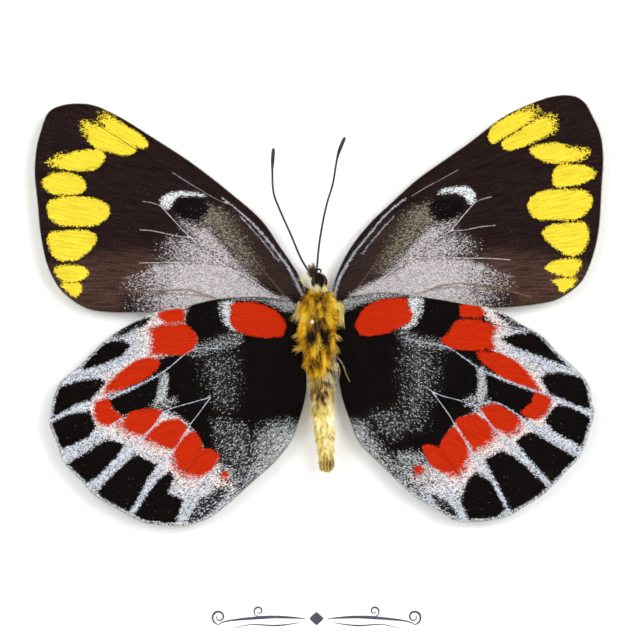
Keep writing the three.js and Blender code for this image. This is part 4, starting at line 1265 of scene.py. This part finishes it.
for side, route in ANTENNA_ROUTES.items():
    rows = [(x, y, 2.9 + 0.1 * i) for i, (x, y) in enumerate(route)]
    name = "antenna_" + side
    horn_piece(name + "_ringed", rows, antenna_radius, antenna_tone, "antenna", name, 460)
for name, rows in PALPS.items():
    horn_piece(
        name + "_bristly", rows, lambda t: 0.02 + 0.07 * np.sin(math.pi * np.clip(t + 0.1, 0, 1)),
        lambda t: 0.2 + 0.35 * t, "head_dark", name, 40, hairs=900.0, hair_length=0.62,
    )
rows = []
for t in np.linspace(0, 1, 40):
    angle = 2 * math.pi * TONGUE_TURNS * t
    radius = 2.5 - 0.8 * t
    x, y = TONGUE_CENTRE_PX
    rows.append((x + radius * math.cos(angle), y - radius * math.sin(angle), 1.85 - 0.3 * t))
horn_piece(
    "proboscis_coil", rows, lambda t: np.full(len(t), 0.09), lambda t: np.full(len(t), 0.12), "antenna",
    "proboscis", 160,
)
for name, (level, rows) in LEGS.items():
    horn_piece(
        name + "_jointed", rows,
        lambda t: 0.07 * (1 - 0.35 * t) * (1 - 0.25 * bell(t, 0.36, 0.02) + 0.15 * bell(t, 0.7, 0.02)),
        lambda t: level - 0.3 * bell(t, 0.36, 0.03), "leg", name, 70, hairs=160.0, hair_length=0.22,
    )

# Hair tufts
# Longer tufts stand at the wing roots, on the collar and beside the waist. Each grows from a few tiny patches
# of skin, and its hairs all lean the same way.
# Tufts: px, py, y in mm, way across, up and to the back, length in mm, spread in px, tone, number of hairs
TUFTS = [
    (300, 303, 2.6, -0.15, -1, -0.1, 1.5, 2.6, 0.84, 80),
    (298, 313, 2.6, -0.3, -0.9, -0.1, 1.2, 2.4, 0.8, 60), (339, 303, 2.4, 0.25, -1, -0.2, 1.5, 2.6, 0.86, 90),
    (341, 312, 2.4, 0, -1, -0.1, 1.9, 2.4, 0.79, 100), (299, 335, 2, -0.8, -0.5, -0.1, 0.9, 3, 0.74, 60),
    (300, 348, 2, -0.8, -0.3, -0.1, 0.9, 2.5, 0.72, 60), (336, 335, 2, 0.5, -0.7, -0.1, 0.8, 3, 0.74, 50),
    (335, 348, 2, 0.4, -0.7, -0.1, 0.8, 3, 0.7, 50), (317, 291, 1.4, -0.1, 0.6, -0.4, 0.8, 3, 0.97, 90),
    (324, 291, 1.2, 0.15, 0.7, -0.4, 0.75, 2.6, 0.9, 80),
    (313, 293, 1.3, -0.4, 0.6, -0.2, 0.8, 2.5, 0.72, 60), (329, 296, 1.6, 0.5, 0.4, -0.2, 0.7, 2.5, 0.7, 50),
    (309, 281, 2.6, -1, 0.35, 0, 1.3, 3, 0.95, 50), (311, 277, 2.4, -0.6, 0.9, 0, 0.9, 2.5, 0.5, 60),
    (308, 292, 2, -0.3, 0.4, -0.1, 0.8, 3.5, 0.02, 120), (306, 296, 2.3, -0.4, -0.6, 0, 0.9, 3, 0.06, 90),
    (318, 377, 1.6, -0.1, -1, 0, 2, 6, 0.62, 90), (326, 378, 1.8, 0.15, -1, 0, 2, 5, 0.95, 70),
    (313, 379, 2.2, -0.08, -1, 0.1, 1.8, 2.4, 0.6, 50), (331, 379, 2.2, 0.08, -1, 0.1, 1.8, 2.4, 0.85, 50),
    (332, 360, 2.4, 0.3, -1, 0, 1.5, 3.5, 0.5, 60), (331, 368, 2.5, 0.2, -1, 0, 1.4, 3.5, 0.05, 60),
    (334, 364, 2.2, 0.35, -1, 0, 1.3, 3, 0.97, 24), (312, 374, 2.5, -0.1, -1, 0, 1.1, 3, 0.1, 40),
    (318, 400, 1.6, -0.3, -1, -0.1, 1.1, 5, 0.9, 90), (328, 400, 1.6, 0.2, -1, -0.1, 1.1, 5, 0.97, 90),
]
TUFT_PATCH = 0.1
TUFT_SEED = 41
tuft_fur = fur_finish("tuft_hair", [
    (0.0, (30, 20, 14)), (0.4, (150, 100, 30)), (0.6, (170, 150, 60)), (0.72, (230, 175, 40)),
    (0.82, (236, 214, 90)), (0.9, (226, 222, 160)), (1.0, (240, 240, 222)),
], root_shade=0.75)
random = np.random.default_rng(TUFT_SEED)
points, lay, tone, length = [], [], [], []
for px, py, y, across, up, back, long, spread, level, hairs in TUFTS:
    for _ in range(hairs // 3):
        offset = random.normal(0, spread / 2, 2)
        centre = place([(px + offset[0], py + offset[1])], y + random.normal(0, 0.12))[0]
        turn = random.uniform(0, 2 * math.pi)
        for a in turn + around(3):
            points.append(centre + TUFT_PATCH * MM * np.array([math.cos(a), 0.0, math.sin(a)]))
            lay.append((across + random.normal(0, 0.18), back, up + random.normal(0, 0.18)))
            tone.append(level + random.normal(0, 0.05))
            length.append(long * random.uniform(0.6, 1.1))
faces = np.arange(len(points)).reshape(-1, 3).tolist()
tufts = mesh_piece("body_tufts", points, faces, tuft_fur)
grow(
    tufts, tuft_fur, seed=TUFT_SEED, hairs=3.0 / (1.3 * TUFT_PATCH ** 2), length=1.0, width=0.024,
    lift=0.05, jitter=0.12, lay=lay, tone=tone, reach=length,
)
own(tufts, "thorax_fur")

# Wing fringe
# A row of short hair-like scales stands along the edge of each wing, dark on the forewings and pale on the
# hindwings. It grows out of a narrow strip just inside the edge.
FRINGE_STEP = 1.2
FRINGE_SEED = 3
FRINGE_TONES = {"forewing": 0.3, "hindwing": 0.75}
fringe_fur = fur_finish("wing_fringe", [
    (0.0, (26, 18, 14)), (0.3, (62, 50, 38)), (0.5, (104, 92, 66)), (0.75, (168, 162, 140)),
    (1.0, (226, 224, 214)),
], root_shade=0.7)


def ribbon_faces(count):
    """Faces between two rows of points."""
    return [(i, i + 1, i + 1 + count, i + count) for i in range(count - 1)]


for name, outline, mid_y, root_px, *_ in WINGS:
    slot = name.split("_")[0]
    line = through(outline, False, FRINGE_STEP)
    way = headings(line)
    normal = np.column_stack([way[:, 1], -way[:, 0]])
    if ((line - line.mean(0)) * normal).sum() < 0:
        normal = -normal
    edges = (line - 0.1 * normal, line - 0.6 * normal)
    strips = [place(edge, mid_y(*from_root(edge, root_px))) for edge in edges]
    fringe = mesh_piece(name + "_fringe", np.vstack(strips), ribbon_faces(len(line)), fringe_fur)
    tone = FRINGE_TONES[slot] + np.random.default_rng(FRINGE_SEED).normal(0, 0.12, len(line))
    if slot == "hindwing":
        tone -= 0.6 * smoothstep((90 - np.abs(line[:, 0] - BODY_PX)) / 50)
    lay = columns(normal[:, 0], 0, -normal[:, 1] - 0.35)
    grow(
        fringe, fringe_fur, seed=17, hairs=420.0, length=0.2, width=0.016, lift=0.02, jitter=0.3,
        lay=np.vstack([lay, lay]), tone=np.concatenate([tone, tone]),
    )
    own(fringe, slot)

# Glue, and a glossy bead with a painted highlight
# A spot of yellowish glue joins the back of the thorax to the card. It was put on as a drop and has spread
# a little. A glossy bead among the leg bases is coloured near white, a painted highlight.
GLUE_CENTRE_PX = (318.5, 325.0)
GLUE_RINGS = [(4.4, 0.9), (4.8, 0.95), (5.2, 1.0), (5.6, 1.12), (5.8, 1.22), (5.9, 1.3)]
BEAD_CENTRE_PX = (312.3, 322.0)
BEAD_Y = -0.02
TURNED_SIDES = 48
glue_stops = [(0.3, (214, 198, 150)), (0.7, (238, 228, 196))]
glue_finish = clouded("yellowish_glue", 1500.0, 2.0, glue_stops, Roughness=0.15, Coat_Weight=0.5)
# The bead's gloss is real. Its near-white colour is a painted highlight.
wet_gloss = Finish("wet_gloss", Roughness=0.08, Coat_Weight=1.0, Base_Color=shade((238, 232, 214)))


def turned(name, rings, centre, finish, wobble=0.0):
    """A piece turned about the Y axis: rings are (y, radius) in millimetres from a centre in metres."""
    turn = around(TURNED_SIDES)
    wave = 1 + wobble * np.sin(3 * turn + 1) + 0.6 * wobble * np.sin(5 * turn)
    points = [columns(r * wave * np.cos(turn), y, r * wave * np.sin(turn)) * MM + centre for y, r in rings]
    return mesh_piece(name, np.vstack(points), loft_faces(len(rings), TURNED_SIDES), finish)


glue = turned("glue_drop", GLUE_RINGS, place([GLUE_CENTRE_PX], 0.0)[0], glue_finish, wobble=0.04)
own(glue, "glue", "glue_spot")
bead_rings = [
    (-0.32 * math.cos(a), max(0.02, 0.25 * math.sin(a))) for a in np.linspace(0.05, math.pi - 0.05, 18)
]
own(turned("bead_painted_highlight", bead_rings, place([BEAD_CENTRE_PX], BEAD_Y)[0], wet_gloss, wobble=0.05), "glue")

# Ornament
# A small printed ornament in dark violet ink stands below the specimen: a swelled rule with a diamond in the
# middle and a scroll at each end. It is flat ink on the card.
INK_X = 316.5
INK_Y = 620.0
INK_HALF_LENGTH_PX = 99.0
INK_THICK = 0.02
violet_ink = clouded("violet_ink", 3500.0, 3.0, [(0.3, (48, 42, 62)), (0.7, (84, 76, 100))], Roughness=0.7)


def scroll(x, y, side, turns, size):
    """The route of a spiral scroll that begins at a place and curls inwards."""
    angle = np.linspace(0, 2 * math.pi * turns, 60)
    radius = size * (1 - 0.75 * angle / angle[-1])
    return np.column_stack([x + side * radius * np.sin(angle), y - size + radius * np.cos(angle)])


# Each pen stroke is a route in pixels and its widths along the way
strokes = []
for side in (-1, 1):
    far = INK_X + side * INK_HALF_LENGTH_PX
    rule = [(INK_X + side * 11, INK_Y), (INK_X + side * 45, INK_Y - 1.5), (far - side * 12, INK_Y + 2),
            (far, INK_Y + 6)]
    under_rule = [(16, 4), (40, 7), (66, 6), (84, 10)]
    strokes += [
        (rule, (0.7, 2.6, 3.4, 2.2, 0.9)),
        (scroll(far - side, INK_Y + 6, side, 1.35, 7.5), (1.0, 2.4, 1.6, 0.8)),
        (scroll(INK_X + side * 58, INK_Y - 2, side, 1.2, 5.5), (0.7, 2.0, 1.4, 0.7)),
        ([(INK_X + side * x, INK_Y + y) for x, y in under_rule], (0.5, 1.7, 1.2, 0.5)),
    ]
strokes.append(([(INK_X - 7, INK_Y), (INK_X, INK_Y), (INK_X + 7, INK_Y)], (0.3, 14.0, 0.3)))
points, faces = [], []
for route, widths in strokes:
    line = through(route, False, 0.5)
    way = headings(line)
    normal = np.column_stack([-way[:, 1], way[:, 0]])
    half = np.interp(np.linspace(0, 1, len(line)), np.linspace(0, 1, len(widths)), widths)[:, None] / 2
    faces += [[i + len(points) for i in f] for f in ribbon_faces(len(line))]
    points += [*place(np.vstack([line + half * normal, line - half * normal]), CARD_FRONT_Y - INK_THICK)]
own(mesh_piece("printed_ornament", points, faces, violet_ink), "white_card")

# Moulding
# Four lengths of rabbeted wooden moulding, stained almost black and rubbed to a satin finish. They meet in
# glued mitres. The face has a fine groove and its inner edge is rounded down towards the glass.
FRAME_WIDTH = 152.0
FRAME_HEIGHT = 127.0
FRAME_FRONT = -16.0
RAIL_BACK = 14.0
RAIL_FACE = 12.0
RAIL_WALL = 8.0
LIP_BACK = -12.0
MITRE_GAP = 0.1
RAIL_STEPS = 24
WOOD_DARK = (24, 15, 11)
WOOD_LIGHT = (50, 32, 22)
middle_z = FRAME_HEIGHT / 2
stained_wood = Finish("stained_wood", Specular_IOR_Level=0.4, Coat_Weight=0.12)
grain_place = attribute(stained_wood, "grain", "Vector")
figure = mottle(stained_wood, 1.0, 5.0, (9, 240, 240), grain_place, distortion=0.6)
pore = mottle(stained_wood, 1.0, 2.0, (160, 3200, 3200), grain_place)
pore_mask = remap(stained_wood, pore, From_Min=0.58, From_Max=0.68)
wood_body = ramp(stained_wood, figure, [(0.3, WOOD_DARK), (0.7, WOOD_LIGHT)])
pore_colour = shade([0.5 * c for c in WOOD_DARK])
stained_wood.feed("Base Color", blend(stained_wood, pore_mask, wood_body, pore_colour))
stained_wood.feed("Roughness", remap(stained_wood, figure, To_Min=0.34, To_Max=0.5))
bump(stained_wood, pore_mask, 0.35, 0.00008, invert=True)


def corner_arc(x, y, radius, start, end, steps=6):
    """Points of a rounded corner of a section, by angle in degrees."""
    angles = np.radians(np.linspace(start, end, steps))
    return [(x + radius * math.cos(a), y + radius * math.sin(a)) for a in angles]


section = [
    (0.3, RAIL_BACK), (0.0, RAIL_BACK - 0.3), (0.0, -5.0), *corner_arc(0.9, FRAME_FRONT + 0.9, 0.9, 180, 270),
    (4.0, FRAME_FRONT), (6.5, FRAME_FRONT), (6.75, FRAME_FRONT + 0.3), (7.05, FRAME_FRONT + 0.42),
    (7.35, FRAME_FRONT + 0.3), (7.6, FRAME_FRONT), *corner_arc(9.2, FRAME_FRONT + 2.8, 2.8, 270, 352, 12),
    (RAIL_FACE, FRAME_FRONT + 2.9), (RAIL_FACE, LIP_BACK - 0.3), (RAIL_FACE - 0.3, LIP_BACK),
    (RAIL_WALL, LIP_BACK), (RAIL_WALL, RAIL_BACK - 0.3), (RAIL_WALL - 0.3, RAIL_BACK),
]
for side, level, sign in (("top", True, 1), ("bottom", True, -1), ("left", False, -1), ("right", False, 1)):
    half_length = (FRAME_WIDTH if level else FRAME_HEIGHT) / 2 - MITRE_GAP / 2
    half_across = (FRAME_HEIGHT if level else FRAME_WIDTH) / 2
    points, grain = [], []
    for t in np.linspace(-1, 1, RAIL_STEPS):
        for inward, y in section:
            along = t * (half_length - inward)
            across = sign * (half_across - inward)
            points.append((along, y, middle_z + across) if level else (across, y, middle_z + along))
            grain.append((along + 400 * sign + 900 * level, inward, y))
    faces = loft_faces(RAIL_STEPS, len(section), flip=True)
    if (sign < 0) == level:
        faces = [f[::-1] for f in faces]
    rail = mesh_piece("moulding_" + side, np.array(points) * MM, faces, stained_wood)
    rail.data.set_sharp_from_angle(angle=math.radians(32))
    set_attributes(rail, grain=np.array(grain) * MM)
    own(rail, "stained_wood", "rail_" + side)

# Glass, spacers, boards
# Behind the lip lie the 2 mm glass pane, four white card spacers, the faced mount card and a fibreboard back.
# All of them are cut square, with their edges only slightly broken.
GLASS_THICK = 2.0
CLEARANCE = 0.1
CARD_THICK = 3.0
BACKING_THICK = 3.0
SPACER_THICK = 3.2
pane_half_width = FRAME_WIDTH / 2 - RAIL_WALL - 2 * CLEARANCE
pane_half_height = FRAME_HEIGHT / 2 - RAIL_WALL - 2 * CLEARANCE
glass_front = LIP_BACK + CLEARANCE
glass_back = glass_front + GLASS_THICK
card_back = CARD_FRONT_Y + CARD_THICK
backing_front = card_back + CLEARANCE
spacer_y = (glass_back + CLEARANCE, CARD_FRONT_Y - CLEARANCE)

clear_glass = Finish("clear_glass", Roughness=0.0, IOR=1.5, Transmission_Weight=1.0, Base_Color=(1, 1, 1, 1))
shadow_ray = clear_glass.add("ShaderNodeLightPath")["Is Shadow Ray"]
see_through = clear_glass.add("ShaderNodeBsdfTransparent", {"Color": (0.97, 0.98, 0.975, 1)})[0]
mix_inputs = {0: shadow_ray, 1: clear_glass.skin.outputs[0], 2: see_through}
glass_mix = clear_glass.add("ShaderNodeMixShader", mix_inputs)[0]
clear_glass.tree.links.new(glass_mix, clear_glass.end.inputs["Surface"])
fibre_stops = [(0.35, (112, 78, 48)), (0.65, (156, 116, 76))]
fibreboard = clouded("fibreboard", 900.0, 6.0, fibre_stops, Roughness=0.85)


def cut_block(name, x, y, z, edge, finish, slot, node):
    """A board or strip with broken edges between pairs of limits in millimetres."""
    points = []
    for layer, inset in ((y[0], edge), (y[0] + edge, 0), (y[1] - edge, 0), (y[1], edge)):
        left, right, low, high = x[0] + inset, x[1] - inset, z[0] + inset, z[1] - inset
        points += [(left, layer, low), (right, layer, low), (right, layer, high), (left, layer, high)]
    block = mesh_piece(name, np.array(points) * MM, loft_faces(4, 4), finish, smooth=False)
    own(block, slot, node)


across = (-pane_half_width, pane_half_width)
upright = (middle_z - pane_half_height, middle_z + pane_half_height)
cut_block("glass_pane", across, (glass_front, glass_back), upright, 0.2, clear_glass, "front_glass", "glass")
card_y = (CARD_FRONT_Y, card_back)
cut_block("card_board", across, card_y, upright, 0.05, white_card, "white_card", "mount_card")
backing_y = (backing_front, backing_front + BACKING_THICK)
cut_block("backing_fibreboard", across, backing_y, upright, 0.25, fibreboard, "backing", "backing_board")
strip_inner_x = pane_half_width - SPACER_THICK
strip_inner_z = pane_half_height - SPACER_THICK
strip_upright = (middle_z - strip_inner_z + CLEARANCE, middle_z + strip_inner_z - CLEARANCE)
SPACERS = {
    "top": (across, (middle_z + strip_inner_z, upright[1])),
    "bottom": (across, (upright[0], middle_z - strip_inner_z)),
    "left": ((-pane_half_width, -strip_inner_x), strip_upright),
    "right": ((strip_inner_x, pane_half_width), strip_upright),
}
for side, (x, z) in SPACERS.items():
    cut_block("spacer_" + side + "_strip", x, spacer_y, z, 0.1, white_card, "white_card", "spacer_" + side)

# Dust cover
# Brown wrapping paper glued over the back just inside its edges. It is drum-tight but slightly cockled, with
# a hand-cut edge.
PAPER_THICK = 0.3
PAPER_INSET = 3.0
PAPER_TRIM = 0.12
PAPER_COLUMNS = 70
PAPER_ROWS = 58
kraft_paper = Finish("kraft_paper", Roughness=0.8)
paper_fibre = mottle(kraft_paper, 1.0, 5.0, (1500, 1500, 260))
paper_cloud = mottle(kraft_paper, 60.0, 3.0)
paper_sum = kraft_paper.add("ShaderNodeMix", {0: 0.4, 2: paper_fibre, 3: paper_cloud})[0]
paper_stops = [(0.38, (150, 112, 72)), (0.62, (186, 146, 100))]
kraft_paper.feed("Base Color", ramp(kraft_paper, paper_sum, paper_stops))
bump(kraft_paper, paper_fibre, 0.2, 0.00008)
paper_front_y = RAIL_BACK + CLEARANCE
paper_back_y = paper_front_y + PAPER_THICK
mesh_grid = np.meshgrid(np.linspace(-1, 1, PAPER_COLUMNS), np.linspace(-1, 1, PAPER_ROWS))
u, v = (part.ravel() for part in mesh_grid)
side_cut = 0.12 * np.sin(9 * v + 1) * (np.abs(u) > 0.999)
end_cut = 0.1 * np.sin(11 * u) * (np.abs(v) > 0.999)
paper_x = u * (FRAME_WIDTH / 2 - PAPER_INSET - PAPER_TRIM + side_cut)
paper_z = middle_z + v * (FRAME_HEIGHT / 2 - PAPER_INSET - PAPER_TRIM + end_cut)
held = (1 - u ** 8) * (1 - v ** 8)
cockle = 0.11 * held * (np.sin(5 * u + 2.2 * v) * np.cos(3.1 * v - u) - 0.6)
points = np.vstack([columns(paper_x, y, paper_z) for y in (paper_front_y, paper_back_y + cockle)])
number = np.arange(PAPER_COLUMNS * PAPER_ROWS).reshape(PAPER_ROWS, PAPER_COLUMNS)
total = number.size
faces = []
for i in range(PAPER_ROWS - 1):
    for k in range(PAPER_COLUMNS - 1):
        a, b, c, d = number[i, k], number[i, k + 1], number[i + 1, k + 1], number[i + 1, k]
        faces += [(a, b, c, d), (d + total, c + total, b + total, a + total)]
rim_loop = [*number[0], *number[1:, -1], *number[-1, -2::-1], *number[-2:0:-1, 0]]
faces += [(b, a, a + total, b + total) for a, b in zip(rim_loop, rim_loop[1:] + rim_loop[:1])]
cover = mesh_piece("dust_cover_paper", points * MM, np.array(faces).tolist(), kraft_paper)
cover.data.set_sharp_from_angle(angle=math.radians(40))
own(cover, "kraft_paper", "dust_cover")

# Hanger
# A stamped brass-plated strip with a row of teeth along its lower edge, held by two small domed nails. It
# lies on the paper at the middle of the top rail.
HANGER_WIDTH = 44.0
HANGER_HEIGHT = 6.0
HANGER_THICK = 0.8
HANGER_CORNER = 0.8
HANGER_EDGE = 0.15
HANGER_TEETH = 10
TOOTH_PITCH = 2.8
TOOTH_DEPTH = 1.2
NAIL_SPACING = 36.0
NAIL_RADIUS = 1.6
HANGER_Z = FRAME_HEIGHT - RAIL_WALL + 0.5
brass_stops = [(0.35, (168, 132, 70)), (0.6, (206, 172, 104))]
brass_plate = clouded("brass_plate", 220.0, 4.0, brass_stops, Metallic=1.0)
brass_lines = mottle(brass_plate, 1.0, 3.0, (200, 2500, 2500))
brass_plate.feed("Roughness", remap(brass_plate, brass_lines, To_Min=0.25, To_Max=0.5))
corner_x = HANGER_WIDTH / 2 - HANGER_CORNER
corner_top = HANGER_HEIGHT - HANGER_CORNER
tooth_start = -HANGER_TEETH * TOOTH_PITCH / 2
outline = [(-corner_x, 0)]
for i in range(HANGER_TEETH):
    outline += [(tooth_start + i * TOOTH_PITCH, 0.0), (tooth_start + (i + 0.5) * TOOTH_PITCH, TOOTH_DEPTH)]
outline += [(-tooth_start, 0.0), (corner_x, 0)]
for x, z, start, end, steps in (
    (corner_x, HANGER_CORNER, -80, 0, 5), (corner_x, corner_top, 0, 90, 6),
    (-corner_x, corner_top, 90, 180, 6), (-corner_x, HANGER_CORNER, 180, 260, 5),
):
    outline += corner_arc(x, z, HANGER_CORNER, start, end, steps)
half_size = np.array([HANGER_WIDTH / 2, HANGER_HEIGHT / 2])
hanger_middle = (0, HANGER_HEIGHT / 2)
hanger_front = paper_back_y + CLEARANCE
rings = []
for y, inset in ((0, 0), (HANGER_THICK - HANGER_EDGE, 0), (HANGER_THICK, HANGER_EDGE)):
    x, z = ((np.array(outline) - hanger_middle) * (1 - inset / half_size) + hanger_middle).T
    rings.append(columns(x, hanger_front + y, HANGER_Z + z))
faces = loft_faces(len(rings), len(outline))
hanger = mesh_piece("hanger_strip", np.vstack(rings) * MM, faces, brass_plate, smooth=False)
own(hanger, "hanger_brass", "hanger_plate")
dome = [(0.0, NAIL_RADIUS - 0.1), (0.08, NAIL_RADIUS)]
dome += [(0.08 + 0.54 * math.sin(a), NAIL_RADIUS * math.cos(a)) for a in np.radians(np.linspace(8, 88, 9))]
for side, sign in (("left", -1), ("right", 1)):
    nail_y = hanger_front + HANGER_THICK + CLEARANCE
    centre = np.array([sign * NAIL_SPACING / 2, nail_y, HANGER_Z + HANGER_HEIGHT / 2]) * MM
    own(turned("nail_" + side + "_dome", dome, centre, brass_plate), "hanger_brass", "hanger_nail_" + side)

# Bumpers
# Two round pads of black felt glued to the lower corners of the back, so that the frame hangs clear of a
# wall. Their edges are rounded.
BUMPER_RADIUS = 3.5
BUMPER_HEIGHT = 1.5
black_felt = clouded("black_felt", 3000.0, 5.0, [(0.35, (20, 20, 22)), (0.7, (54, 54, 56))], Roughness=0.95)
bump(black_felt, mottle(black_felt, 3000.0, 5.0), 0.7, 0.0002)
inner_radius = BUMPER_RADIUS - 0.25
pad = [(0.0, inner_radius)]
pad += [(0.3 - 0.3 * math.cos(a), inner_radius + 0.25 * math.sin(a)) for a in np.radians((30, 60, 90))]
pad += corner_arc(BUMPER_HEIGHT - 0.35, BUMPER_RADIUS - 0.35, 0.35, 90, 0, 4)
for side, sign in (("left", -1), ("right", 1)):
    centre = np.array([sign * (FRAME_WIDTH / 2 - RAIL_WALL), paper_back_y + CLEARANCE, RAIL_WALL]) * MM
    felt = turned("bumper_" + side + "_felt", pad, centre, black_felt, wobble=0.006)
    own(felt, "bumper_felt", "bumper_" + side)
